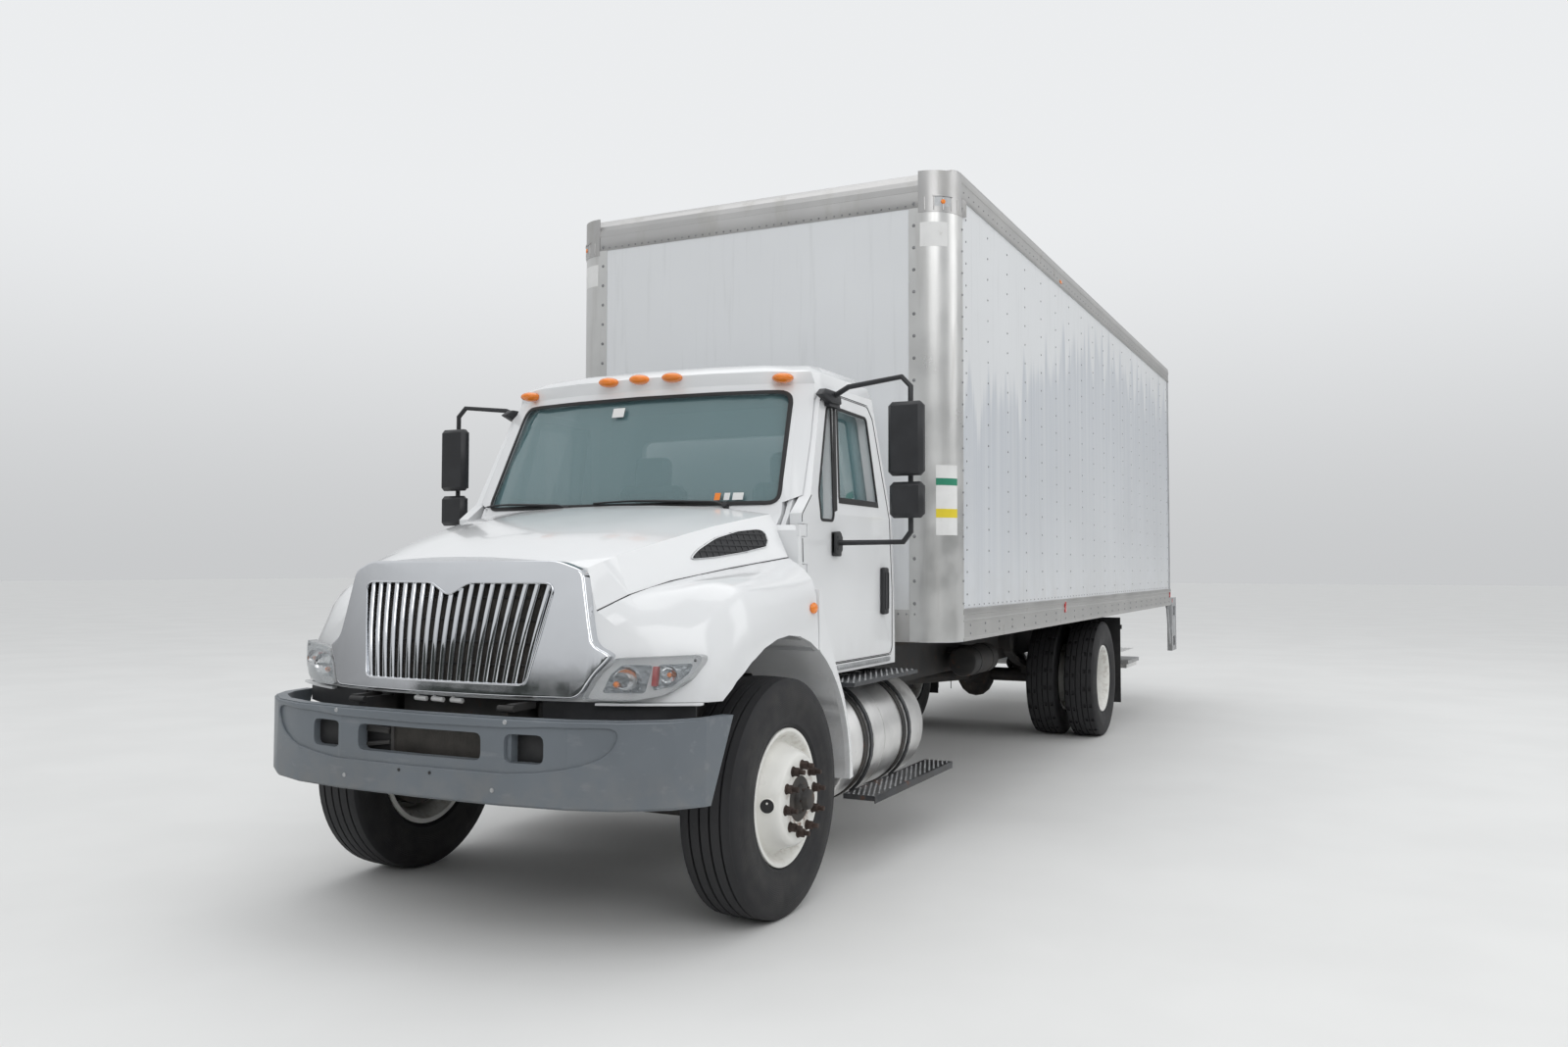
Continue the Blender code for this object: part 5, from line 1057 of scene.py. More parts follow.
    def nuts(self, name, centre, along, sign, body):
        """Flanged nuts on their studs, in a ring."""
        builder = bmesh.new()
        count = bpy.context.scene.truck_sizes.stud_count
        out = Vector((sign, 0, 0))
        for spot in round_axle(centre, along, STUD_CIRCLE, count, 0.3):
            add_rod(builder, spot, spot + out * 0.006, 0.0235, 16, 0.0205)
            add_rod(builder, spot + out * 0.005, spot + out * 0.030, 0.0190, 6, bevel=0.0015)
            add_rod(builder, spot + out * 0.028, spot + out * 0.056, 0.0110, 10, bevel=0.001)
        piece(name, builder, body, "rust", 32)


class TRUCK_OT_van_body(BoxTruckOperator):
    """Posts, rails, corner castings, lamps, rivets and colour bands of the van body."""

    bl_idname = "truck.van_body"
    bl_label = "Van body trim"

    def build(self):
        self.posts()
        self.rails()
        self.rivets()
        self.bands()

    def post_line(self, stand_off, first=-90.0, last=0.0, steps=14):
        """The corner post's plan: a quarter round that stands proud of the wall."""
        return [self.post_spot(first + (last - first) * n / steps, stand_off)[:2]
                for n in range(steps + 1)]

    def post_spot(self, degrees, stand_off, z=0.0):
        """A place on the corner post's round face."""
        angle = math.radians(degrees)
        return Vector((BODY_HALF - POST_RADIUS + (POST_RADIUS + stand_off) * math.cos(angle),
                       BODY_FRONT + POST_RADIUS + (POST_RADIUS + stand_off) * math.sin(angle),
                       z))

    def post_band(self, builder, outside, inside, first, last, low, high):
        """A band round the post between two heights."""
        outer = self.post_line(outside, first, last, 8)
        inner = self.post_line(inside, first, last, 8)
        outline_plate(builder, outer + inner[::-1], "Z", low, high)

    def posts(self):
        """Polished quarter-round posts, each with its flat rivet strip on the front."""
        builder = bmesh.new()
        outer = self.post_line(0.0035)
        inner = self.post_line(-0.001)
        strip = [(outer[0][0] - 0.062, outer[0][1]), (inner[0][0] - 0.062, inner[0][1])]
        outline = [strip[0]] + outer + [(outer[-1][0], outer[-1][1] + 0.020),
                                        (inner[-1][0], inner[-1][1] + 0.020)]
        outline += inner[::-1] + [strip[1]]
        outline_plate(builder, outline, "Z", BODY_BOTTOM + 0.004, BODY_TOP - 0.232)
        piece("corner_posts", mirrored(builder), "chassis", "post", 50)
        casting = bmesh.new()
        outer = self.post_line(0.006, steps=18)
        inner = self.post_line(-0.004, steps=18)
        outline = [(outer[0][0] - 0.004, outer[0][1])] + outer + inner[::-1]
        outline += [(inner[0][0] - 0.004, inner[0][1])]
        outline_plate(casting, outline, "Z", BODY_TOP - 0.262, BODY_TOP - 0.020)
        for angle in range(-80, 0, 16):
            add_rod(casting, self.post_spot(angle, 0.006, BODY_TOP - 0.250),
                    self.post_spot(angle, 0.006, BODY_TOP - 0.175), 0.0042, 6)
        for n in range(6):
            add_box(casting, (BODY_HALF - 0.002, BODY_FRONT + 0.205 + n * 0.013,
                              BODY_TOP - 0.262 + n * 0.004),
                    (BODY_HALF + 0.007, BODY_FRONT + 0.212 + n * 0.013, BODY_TOP - 0.150),
                    0.001)
        self.post_band(casting, 0.012, 0.004, -66, -30, BODY_TOP - 0.172, BODY_TOP - 0.160)
        piece("corner_castings", mirrored(casting), "chassis", "header", 40)
        pocket = bmesh.new()
        self.post_band(pocket, 0.0066, 0.0040, -64, -32, BODY_TOP - 0.228, BODY_TOP - 0.172)
        piece("casting_pockets", mirrored(pocket), "chassis", "zinc", 40)
        lamps = bmesh.new()
        add_rod(lamps, self.post_spot(-48, 0.006, BODY_TOP - 0.202),
                self.post_spot(-48, 0.013, BODY_TOP - 0.202), 0.015, 16, 0.012, bevel=0.001)
        add_box(lamps, (BODY_HALF + 0.001, 4.378, BODY_TOP - 0.125),
                (BODY_HALF + 0.009, 4.430, BODY_TOP - 0.103), 0.003)
        piece("body_amber_lamps", mirrored(lamps), "chassis", "amber", 40)
        red = bmesh.new()
        add_box(red, (BODY_HALF + 0.001, 4.452, BODY_BOTTOM + 0.086),
                (BODY_HALF + 0.009, 4.496, BODY_BOTTOM + 0.168), 0.003)
        add_box(red, (BODY_HALF + 0.001, BODY_REAR - 0.085, BODY_BOTTOM + 0.090),
                (BODY_HALF + 0.009, BODY_REAR - 0.030, BODY_BOTTOM + 0.150), 0.003)
        piece("body_red_lamps", mirrored(red), "chassis", "red", 40)

    def rails(self):
        """Top and bottom side rails with their raised lines, and the front wall's strips."""
        builder = bmesh.new()
        front = BODY_FRONT + 0.205
        rear = BODY_REAR - 0.004
        low = BODY_BOTTOM
        top = BODY_TOP
        x = BODY_HALF
        bottom = [
            (x - 0.004, low), (x + 0.004, low), (x + 0.006, low + 0.010),
            (x + 0.006, low + 0.016), (x + 0.002, low + 0.020), (x + 0.002, low + 0.108),
            (x + 0.005, low + 0.112), (x + 0.005, low + 0.122), (x + 0.001, low + 0.126),
            (x + 0.001, low + 0.150),
            (x + 0.006, low + 0.155), (x + 0.006, low + 0.176), (x + 0.003, low + 0.187),
            (x - 0.009, low + 0.190),
        ]
        outline_plate(builder, bottom, "Y", front, rear)
        upper = [
            (x - 0.009, top - 0.152), (x + 0.004, top - 0.150), (x + 0.006, top - 0.140),
            (x + 0.006, top - 0.128), (x + 0.002, top - 0.124), (x + 0.002, top - 0.060),
            (x + 0.006, top - 0.055), (x + 0.006, top - 0.034), (x + 0.001, top - 0.014),
            (x - 0.012, top + 0.002), (x - 0.040, top + 0.004), (x - 0.040, top - 0.004),
            (x - 0.004, top - 0.010),
        ]
        outline_plate(builder, upper, "Y", front - 0.02, rear)
        piece("side_rails", mirrored(builder), "chassis", "rail", 30)
        kick = bmesh.new()
        add_box(kick, (-x + 0.19, BODY_FRONT - 0.003, low), (x - 0.19, BODY_FRONT, low + 0.185),
                0.001)
        add_box(kick, (-x + 0.195, BODY_FRONT - 0.004, top - 0.232),
                (x - 0.195, BODY_FRONT, top - 0.140), 0.001)
        piece("front_strips", kick, "chassis", "header", 30)

    def rivets(self):
        """Rivets of the side panels, rails and posts, and along the front wall's strips."""
        sizes = bpy.context.scene.truck_sizes
        builder = bmesh.new()
        x = BODY_HALF
        radius = sizes.rivet_radius
        length = BODY_REAR - BODY_FRONT
        down = [BODY_BOTTOM + 0.27 + n * 0.130 for n in range(18)]
        for n in range(sizes.side_columns):
            y = BODY_FRONT + 0.30 + (length - 0.45) * n / (sizes.side_columns - 1)
            add_heads(builder, [(x - 0.006, y, z) for z in down], (1, 0, 0), radius * 0.85,
                      0.0035)
        for n in range(int((length - 0.255) / 0.10) + 1):
            y = BODY_FRONT + 0.235 + n * 0.10
            rows = [(x - 0.006, y, BODY_BOTTOM + 0.206), (x + 0.002, y, BODY_TOP - 0.106)]
            add_heads(builder, rows, (1, 0, 0), radius * 0.6, 0.0035)
            if n % 3 == 1:
                rows = [(x + 0.002, y, BODY_BOTTOM + 0.042),
                        (x + 0.002, y, BODY_BOTTOM + 0.090)]
                add_heads(builder, rows, (1, 0, 0), radius * 1.05, 0.004)
        strip_x = x - POST_RADIUS - 0.031
        heights = [BODY_BOTTOM + 0.22 + n * 0.128 for n in range(19)]
        add_heads(builder, [(strip_x, BODY_FRONT - 0.0035, z) for z in heights],
                  (0, -1, 0), radius * 1.25, 0.006)
        add_heads(builder, [(x + 0.0035, BODY_FRONT + 0.198, z) for z in heights],
                  (1, 0, 0), radius * 0.9, 0.005)
        piece("side_rivets", mirrored(builder), "chassis", "rivet", 30)
        front = bmesh.new()
        for n in range(44):
            px = -1.08 + 2.16 * n / 43
            add_heads(front, [(px, BODY_FRONT - 0.004, BODY_TOP - 0.216),
                              (px, BODY_FRONT - 0.003, BODY_BOTTOM + 0.160)],
                      (0, -1, 0), radius * 0.75, 0.004)
        piece("front_rivets", front, "chassis", "rivet", 30)

    def bands(self):
        """Blank bands of colour on the left post and blank signs at both posts' tops."""
        places = (
            ("warning_sign", "white", 1.700, 2.100, -62, -20),
            ("green_stripe", "green", 1.985, 2.025, -62, -20),
            ("yellow_stripe", "yellow", 1.800, 1.850, -62, -20),
            ("height_sign", "white", 3.360, 3.500, -88, -40),
        )
        for name, finish, low, high, first, last in places:
            builder = bmesh.new()
            stand_off = 0.0045 if finish == "white" else 0.0052
            self.post_band(builder, stand_off, 0.0030, first, last, low, high)
            if name == "height_sign":
                builder = mirrored(builder)
            piece(name, builder, "chassis", finish, 50)


class TRUCK_OT_hood(BoxTruckOperator):
    """The hood's smooth shell with its side vents, aprons, seams and fender markers."""

    bl_idname = "truck.hood"
    bl_label = "Hood"

    def build(self):
        shell = evened(dressed("hood", "cab", 0.003, 50))
        shell.data.materials.append(FINISH["black"])
        for face in shell.data.polygons:
            if face.center.z < 1.002 and abs(face.center.x) < 0.45:
                face.material_index = 1
        self.vents()
        self.aprons()
        seam = [(0.655, 1.340), (0.700, 1.400), (0.765, 1.455), (0.870, 1.510), (0.985, 1.560)]
        rows = [(-0.900, 0.300, 0.160), (-0.700, 0.180, 0.100), (-0.420, 0.060, 0.030),
                (-0.050, 0.0, 0.0), (0.298, 0.0, 0.0)]
        line = []
        for (x, z), (y, sweep, rake) in zip(seam, rows):
            back = sweep * (x / 1.1) ** 2.5 + rake * (z - 0.985)
            line.append((x + 0.0008, y + back, z + 0.0008))
        builder = bmesh.new()
        add_tube(builder, line, 0.0028, 6)
        piece("fender_seams", mirrored(builder), "hood_and_grille", "rubber")
        marker = bmesh.new()
        add_ball(marker, (1.143, 0.245, 1.330), (0.014, 0.034, 0.026))
        piece("fender_markers", mirrored(marker), "hood_and_grille", "amber", 60)

    def aprons(self):
        """Dark aprons that hang behind the lamps down to the bumper."""
        line = [(x, nose_y(x, 0.985, -0.004)) for x in
                (0.470, 0.580, 0.690, 0.790, 0.880, 0.960, 1.040)]
        outline = line + [(x, y + 0.008) for x, y in reversed(line)]
        builder = bmesh.new()
        outline_plate(builder, outline, "Z", 0.895, 0.988)
        piece("front_aprons", mirrored(builder), "hood_and_grille", "plastic", 50)

    def vents(self):
        """A louvred teardrop in each side of the hood, inside a moulded rim."""
        shape = eased([
            (-0.255, 1.548), (-0.200, 1.590), (-0.080, 1.645), (0.060, 1.680),
            (0.190, 1.693), (0.222, 1.670), (0.205, 1.612), (0.050, 1.582),
            (-0.120, 1.558),
        ], 0.03)
        rim = bmesh.new()
        framed(rim, shape, "X", -0.004, 0.0095, 0.002, 0.014, 0.0025)
        on_hood_side(rim)
        piece("vent_rims", mirrored(rim), "hood_and_grille", "cab", 50)
        back = bmesh.new()
        outline_plate(back, shape, "X", -0.003, 0.0028)
        for n in range(1, 14):
            y = -0.255 + 0.477 * n / 14
            low, high = span(shape, y, 0)
            if high - low > 0.012:
                add_box(back, (0.0, y - 0.0022, low + 0.002), (0.0062, y + 0.0022, high - 0.002))
        for n in range(1, 5):
            z = 1.560 + 0.027 * n
            low, high = span(shape, z, 1)
            add_box(back, (0.0, low + 0.004, z - 0.003), (0.0075, high - 0.004, z + 0.003))
        on_hood_side(back)
        piece("vent_louvres", mirrored(back), "hood_and_grille", "plastic", 30)


class TRUCK_OT_grille(BoxTruckOperator):
    """Chrome surround, thick round bars, the dark screen behind them and the lamp units."""

    bl_idname = "truck.grille"
    bl_label = "Grille and headlamps"

    def build(self):
        window = [(-0.425, 1.045), (0.425, 1.045), (0.505, 1.430), (0.480, 1.455),
                  (0.100, 1.455), (0.0, 1.400), (-0.100, 1.455), (-0.480, 1.455),
                  (-0.505, 1.430)]
        half = [(0.640, 0.998), (0.690, 1.092), (0.748, 1.160), (0.740, 1.176),
                (0.676, 1.206), (0.652, 1.300), (0.610, 1.500), (0.500, 1.540)]
        outline = half + [(-x, z) for x, z in reversed(half)]
        surround = bmesh.new()
        holed_plate(surround, eased(outline, 0.035, 5), [eased(window, 0.03, 4)], -0.0006,
                    -0.046, 0.010, 4)
        on_nose(surround)
        made = piece("grille_surround", surround, "hood_and_grille", "chrome", 50)
        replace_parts(evened(made), "grille")
        rim = bmesh.new()
        framed(rim, eased(window, 0.03, 4), "Y", -0.030, -0.0535, 0.008, 0.005, 0.003)
        on_nose(rim)
        piece("grille_rim", rim, "hood_and_grille", "chrome", 50)
        bars = bmesh.new()
        count = 19
        for n in range(count):
            t = (n + 0.5) / count * 2 - 1
            low_x = 0.428 * t
            top_x = 0.500 * t
            top_z = 1.400 + 0.55 * abs(top_x) if abs(top_x) < 0.100 else 1.452
            line = []
            for k in range(7):
                s = k / 6
                z = 1.036 + (top_z + 0.010 - 1.036) * s
                x = low_x + (top_x - low_x) * s
                line.append((x, nose_y(x, z, 0.029 + 0.010 * math.sin(math.pi * s)), z))
            add_tube(bars, line, 0.0125, 14)
        piece("grille_bars", bars, "hood_and_grille", "chrome", 60)
        screen = bmesh.new()
        outline_plate(screen, window, "Y", -0.0012, -0.0035)
        on_nose(screen)
        piece("grille_screen", screen, "hood_and_grille", "fins")
        tubes = bmesh.new()
        for z in (1.12, 1.21, 1.30, 1.39):
            line = [(x, nose_y(x, z, 0.009), z) for x in
                    (-0.42, -0.28, -0.14, 0.0, 0.14, 0.28, 0.42)]
            add_tube(tubes, line, 0.0045, 6)
        piece("condenser_tubes", tubes, "hood_and_grille", "iron")
        self.lamps()
        self.fittings()

    def lamps(self):
        """Each lamp: bezel, bright bowls, turn lamp and reflector behind a clear lens."""
        outline = eased([
            (0.655, 0.998), (0.840, 0.994), (0.950, 1.016), (1.025, 1.070), (1.070, 1.145),
            (1.068, 1.172), (0.765, 1.158), (0.700, 1.090),
        ], 0.02)
        lens = bmesh.new()
        outline_plate(lens, outline, "Y", -0.0400, -0.0500, 0.004)
        on_nose(lens)
        for node, shape in (("headlamp_left", lens.copy()), ("headlamp_right", flipped(lens))):
            made = piece(node + "_lens", shape, "hood_and_grille", "lens", 40)
            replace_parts(made, node)
        lens.free()
        bezel = bmesh.new()
        framed(bezel, outline, "Y", -0.0006, -0.0485, 0.012, 0.0, 0.003)
        outline_plate(bezel, outline, "Y", -0.0008, -0.0060)
        on_nose(bezel)
        piece("lamp_bezels", mirrored(bezel), "hood_and_grille", "cab", 50)
        chambers = bmesh.new()
        for shape in (
            [(0.712, 1.022), (0.868, 1.022), (0.886, 1.130), (0.778, 1.130), (0.738, 1.092)],
            [(0.894, 1.032), (0.962, 1.048), (1.014, 1.098), (1.026, 1.136), (0.908, 1.132)],
        ):
            outline_plate(chambers, eased(shape, 0.012), "Y", -0.0062, -0.0090)
        on_nose(chambers)
        piece("lamp_chambers", mirrored(chambers), "hood_and_grille", "chamber", 40)
        bowls = bmesh.new()
        for x, z, wide, tall in ((0.810, 1.078, 0.060, 0.047), (0.957, 1.094, 0.040, 0.036)):
            made = bmesh.ops.create_uvsphere(bowls, u_segments=24, v_segments=12,
                                             radius=1.0)["verts"]
            bmesh.ops.delete(bowls, geom=[v for v in made if v.co.y < -0.05],
                             context="VERTS")
            kept = [v for v in made if v.is_valid]
            bmesh.ops.scale(bowls, vec=(wide, 0.026, tall), verts=kept)
            bmesh.ops.translate(bowls, vec=(x, nose_y(x, z, 0.036), z), verts=kept)
        piece("lamp_bowls", mirrored(bowls), "hood_and_grille", "reflector", 60)
        colour = bmesh.new()
        add_box(colour, (0.897, -0.030, 1.050), (0.915, -0.0085, 1.126), 0.003)
        on_nose(colour)
        piece("lamp_reflectors", mirrored(colour), "hood_and_grille", "red", 40)
        bulb = bmesh.new()
        for x, z, radius in ((0.772, 1.056, 0.013), (0.957, 1.094, 0.010)):
            add_ball(bulb, (x, nose_y(x, z, 0.028), z), (radius, radius, radius), 14, 8)
        piece("lamp_bulbs", mirrored(bulb), "hood_and_grille", "amber", 60)
        screw = bmesh.new()
        spot = Vector((1.046, nose_y(1.046, 1.150, 0.040), 1.150))
        add_rod(screw, spot, spot - Vector((0, 0.004, 0)), 0.006, 12)
        piece("lamp_screws", mirrored(screw), "hood_and_grille", "iron", 40)

    def fittings(self):
        """Pale hose fittings under the grille and the trim strip under each lamp."""
        builder = bmesh.new()
        for x in (-0.150, -0.060, 0.040):
            add_rod(builder, (x, -0.905, 0.972), (x + 0.062, -0.905, 0.970), 0.0105, 12,
                    bevel=0.002)
            add_rod(builder, (x + 0.012, -0.905, 0.972), (x + 0.012, -0.905, 0.986), 0.006, 8)
        piece("hose_fittings", builder, "hood_and_grille", "white", 40)
        strip = bmesh.new()
        add_box(strip, (0.700, -0.030, 0.974), (1.070, -0.001, 0.984), 0.002)
        on_nose(strip)
        piece("lamp_strips", mirrored(strip), "hood_and_grille", "cab", 40)


class TRUCK_OT_bumper(BoxTruckOperator):
    """The bumper's skin round its recess, the fog lamp pockets, the cooler and bolts."""

    bl_idname = "truck.bumper"
    bl_label = "Bumper details"

    def build(self):
        recess = [(0.0, 0.724), (0.442, 0.725), (0.565, 0.734), (0.679, 0.751),
                  (0.762, 0.770), (0.825, 0.797), (0.861, 0.826), (0.881, 0.860),
                  (0.887, 0.885), (0.878, 0.901), (0.852, 0.909), (0.610, 0.907),
                  (0.440, 0.898), (0.0, 0.893)]
        recess += [(-x, z) for x, z in reversed(recess[1:-1])]
        outline = [(-1.128, 0.606), (1.128, 0.606), (1.128, 0.931), (-1.128, 0.931)]
        skin = bmesh.new()
        holed_plate(skin, outline, [eased(recess, 0.012, 2)], 0.002, -0.0095, 0.006, 3, True)
        on_bumper(skin)
        evened(piece("bumper_skin", skin, "chassis", "bumper", 50))
        pockets = bmesh.new()
        for side in (1, -1):
            low, high = sorted((side * 0.420, side * 0.610))
            add_box(pockets, (low, -0.990, 0.755), (high, -0.975, 0.885), 0.002)
            for x in (low, high - 0.006):
                add_box(pockets, (x, -1.000, 0.755), (x + 0.006, -0.975, 0.885))
        add_box(pockets, (-0.345, -0.975, 0.755), (-0.190, -0.960, 0.885), 0.002)
        piece("fog_pockets", pockets, "chassis", "rubber", 40)
        cooler = bmesh.new()
        add_box(cooler, (-0.185, -0.985, 0.745), (0.325, -0.950, 0.900), 0.003)
        piece("front_cooler", cooler, "chassis", "fins", 40)
        pipes = bmesh.new()
        add_box(pipes, (-0.200, -0.992, 0.740), (-0.182, -0.955, 0.905), 0.003)
        add_rod(pipes, (-0.205, -0.985, 0.840), (-0.330, -0.985, 0.846), 0.014, 12)
        add_rod(pipes, (-0.205, -0.985, 0.795), (-0.330, -0.985, 0.780), 0.009, 12)
        piece("cooler_pipes", pipes, "chassis", "iron", 40)
        bolts = bmesh.new()
        for x, z in ((0.440, 0.920), (0.385, 0.658), (-0.440, 0.920), (-0.385, 0.658)):
            y = bumper_y(x) - 0.0090
            add_rod(bolts, (x, y + 0.004, z), (x, y - 0.0035, z), 0.0105, 12, 0.0085)
        piece("bumper_bolts", bolts, "chassis", "zinc", 40)
        # Black discs of painted shade stand for the two plate holes.
        holes = bmesh.new()
        for x in (-0.080, 0.080):
            add_rod(holes, (x, -1.060, 0.703), (x, -1.0700, 0.703), 0.0065, 12)
        piece("plate_holes", holes, "chassis", "rubber", 40)


class TRUCK_OT_cab_trim(BoxTruckOperator):
    """Marker lamps, wipers, window rubbers, door handles and sill steps of the cab."""

    bl_idname = "truck.cab_trim"
    bl_label = "Cab trim"

    def build(self):
        markers = bmesh.new()
        places = ((0.787, 0.640, 2.452), (0.196, 0.545, 2.480), (0.0, 0.540, 2.482))
        for x, y, z in places:
            for side in ((1, -1) if x else (1,)):
                add_ball(markers, (side * x, y, z + 0.012), (0.056, 0.055, 0.026), 20, 12)
        piece("roof_markers", markers, "chassis", "amber", 60)
        wall = bmesh.new()
        outline_plate(wall, [(0.345, 1.600), (0.345, 1.690), (0.410, 1.775), (0.455, 1.860),
                             (0.520, 1.860), (0.520, 1.600)], "X", 0.912, 0.938, 0.002)
        piece("pillar_feet", mirrored(wall), "chassis", "cab", 40)
        self.screen_rubber()
        self.wipers()
        self.window_rubbers()
        self.handles()
        self.patches()

    def screen_rubber(self):
        """The rubber frame round the windshield."""
        builder = bmesh.new()
        outline = eased([(-0.890, 1.815), (0.890, 1.815), (0.835, 2.405), (-0.835, 2.405)],
                        0.07, 6)
        framed(builder, outline, "Y", -0.0005, -0.0075, 0.020, 0.016, 0.002)
        on_screen(builder)
        piece("screen_rubber", builder, "chassis", "rubber", 50)

    def wipers(self):
        """Two wiper arms with their blades, parked along the foot of the windshield."""
        builder = bmesh.new()
        for pivot, reach in ((-0.30, -0.42), (0.62, -0.50)):
            foot = Vector((pivot, screen_y(pivot, 1.815) - 0.020, 1.812))
            tip = Vector((pivot + reach, screen_y(pivot + reach, 1.845) - 0.024, 1.845))
            knee = foot + Vector((reach * 0.10, -0.006, 0.020))
            add_tube(builder, bend([foot, knee, tip], 0.03), 0.0060, 8)
            add_rod(builder, foot + Vector((0, 0.016, -0.008)), foot + Vector((0, -0.012, 0.006)),
                    0.015, 12, bevel=0.002)
            for shift, radius in ((0.0, 0.0050), (0.010, 0.0035)):
                line = []
                for k in range(7):
                    x = tip.x - reach * 0.58 + reach * 1.10 * k / 6
                    z = 1.838 + 0.008 * math.sin(math.pi * k / 6)
                    line.append((x, screen_y(x, z) - 0.016 + shift, z))
                add_tube(builder, line, radius, 6)
        piece("wipers", builder, "chassis", "plastic", 50)

    def window_rubbers(self):
        """Black rims of the vent window and the main window on each door."""
        builder = bmesh.new()
        vent = eased([(0.560, 1.740), (0.720, 1.740), (0.835, 2.330), (0.770, 2.330),
                      (0.560, 1.880)], 0.03)
        main = eased([(0.795, 1.840), (1.330, 1.840), (1.300, 2.330), (0.895, 2.340)], 0.035)
        framed(builder, vent, "X", 1.026, 1.0335, 0.014, 0.004, 0.0015)
        framed(builder, main, "X", 1.026, 1.0335, 0.016, 0.004, 0.0015)
        low = [(0.800, 1.838), (1.328, 1.838), (1.326, 1.868), (0.805, 1.868)]
        outline_plate(builder, low, "X", 1.027, 1.0340, 0.001)
        post = [(0.728, 1.790), (0.766, 1.800), (0.886, 2.345), (0.852, 2.345)]
        outline_plate(builder, post, "X", 1.027, 1.0332, 0.001)
        lean_in(builder)
        piece_pair("window_rubber", builder, "{}_door", "rubber", 50)

    def handles(self):
        """Door outlines, upright handles, the mirrors with their covers and the sills."""
        lines = bmesh.new()
        outlines = (
            [(0.478, 1.862), (0.352, 1.766), (0.3535, 1.730)],
            [(0.358, 1.652), (0.366, 1.540)],
            [(0.372, 1.462), (0.376, 1.425), (0.438, 1.414), (0.465, 1.313), (0.544, 1.224),
             (0.624, 1.104), (0.692, 1.0445), (1.486, 1.0445), (1.5155, 1.073),
             (1.5155, 1.400), (1.4755, 1.780), (1.386, 2.326), (1.328, 2.390),
             (0.763, 2.400), (0.705, 2.347)],
        )
        for outline in outlines:
            add_tube(lines, bend([(DOOR_FACE, y, z) for y, z in outline], 0.02, 3), 0.0021, 6)
        lean_in(lines)
        piece_pair("door_lines", lines, "{}_door", "rubber", 60)
        builder = bmesh.new()
        add_box(builder, (1.0285, 1.338, 1.262), (1.0560, 1.414, 1.516), 0.012, 3)
        framed(builder, eased([(1.350, 1.285), (1.402, 1.285), (1.402, 1.495),
                               (1.350, 1.495)], 0.02), "X", 1.054, 1.0600, 0.006, 0.004, 0.0015)
        piece_pair("door_handle", builder, "{}_door", "plastic", 50)
        builder = bmesh.new()
        outline = [(0.735, 1.570), (0.778, 1.600), (0.778, 1.665), (0.748, 1.695),
                   (0.690, 1.690), (0.690, 1.585)]
        outline_plate(builder, outline, "X", 1.0302, 1.0560, 0.004)
        add_heads(builder, [(1.056, 0.712, 1.610), (1.056, 0.712, 1.668)], (1, 0, 0), 0.010,
                  0.006)
        cover = [(0.640, 2.372), (0.700, 2.408), (0.850, 2.408), (0.880, 2.385),
                 (0.880, 2.345), (0.760, 2.340)]
        outline_plate(builder, cover, "X", 1.0310, 1.0740, 0.008)
        lean_in(builder)
        piece_pair("mirror_cover", builder, "{}_door", "plastic", 50)
        for side in ("left", "right"):
            dressed(f"mirror_{side}", "plastic", 0.006, 40)
        glass = bmesh.new()
        add_box(glass, (1.335, 0.7655, 1.975), (1.485, 0.7672, 2.305), 0.0006)
        add_box(glass, (1.340, 0.7655, 1.768), (1.486, 0.7672, 1.917), 0.0006)
        piece_pair("mirror_glass", glass, "{}_door", "chrome", 40)
        sill = bmesh.new()
        add_box(sill, (1.022, 0.760, 1.006), (1.040, 1.470, 1.028), 0.004)
        for n in range(22):
            y = 0.785 + n * 0.031
            add_rod(sill, (1.039, y, 1.017), (1.0415, y, 1.017), 0.0055, 8)
        piece("door_sills", mirrored(sill), "chassis", "zinc", 40)

    def patches(self):
        """Small blank patches on the windshield."""
        table = (
            ("top_patch", "white", -0.120, 2.300, 0.075, 0.050),
            ("low_patch_a", "amber", 0.560, 1.842, 0.030, 0.036),
            ("low_patch_b", "white", 0.610, 1.842, 0.030, 0.036),
            ("low_patch_c", "white", 0.668, 1.842, 0.055, 0.036),
        )
        for name, finish, x, z, wide, tall in table:
            builder = bmesh.new()
            outline = [(x - wide / 2, z), (x + wide / 2, z), (x + wide / 2, z + tall),
                       (x - wide / 2, z + tall)]
            outline_plate(builder, outline, "Y", -0.0004, -0.0012)
            on_screen(builder)
            piece(name, builder, "chassis", finish)


class TRUCK_OT_seats(BoxTruckOperator):
    """Padded seats and the parts of the cab that show through its glass."""

    bl_idname = "truck.seats"
    bl_label = "Seats"

    def build(self):
        for side, sign in SIDES:
            dressed(f"seat_{side}", "grey", 0.018, 34)
            seams = bmesh.new()
            for x in (0.330, 0.590):
                line = [(sign * x, 0.905, 1.4305), (sign * x, 1.315, 1.4315),
                        (sign * x, 1.3275, 1.46), (sign * x, 1.3275, 1.97)]
                add_tube(seams, bend(line, 0.03), 0.004, 6)
            piece(f"seat_seams_{side}", seams, "chassis", "rubber", 60)
        dressed("dashboard", "grey", 0.012, 34)
        dressed("steering_wheel", "plastic", 0.004, 50)


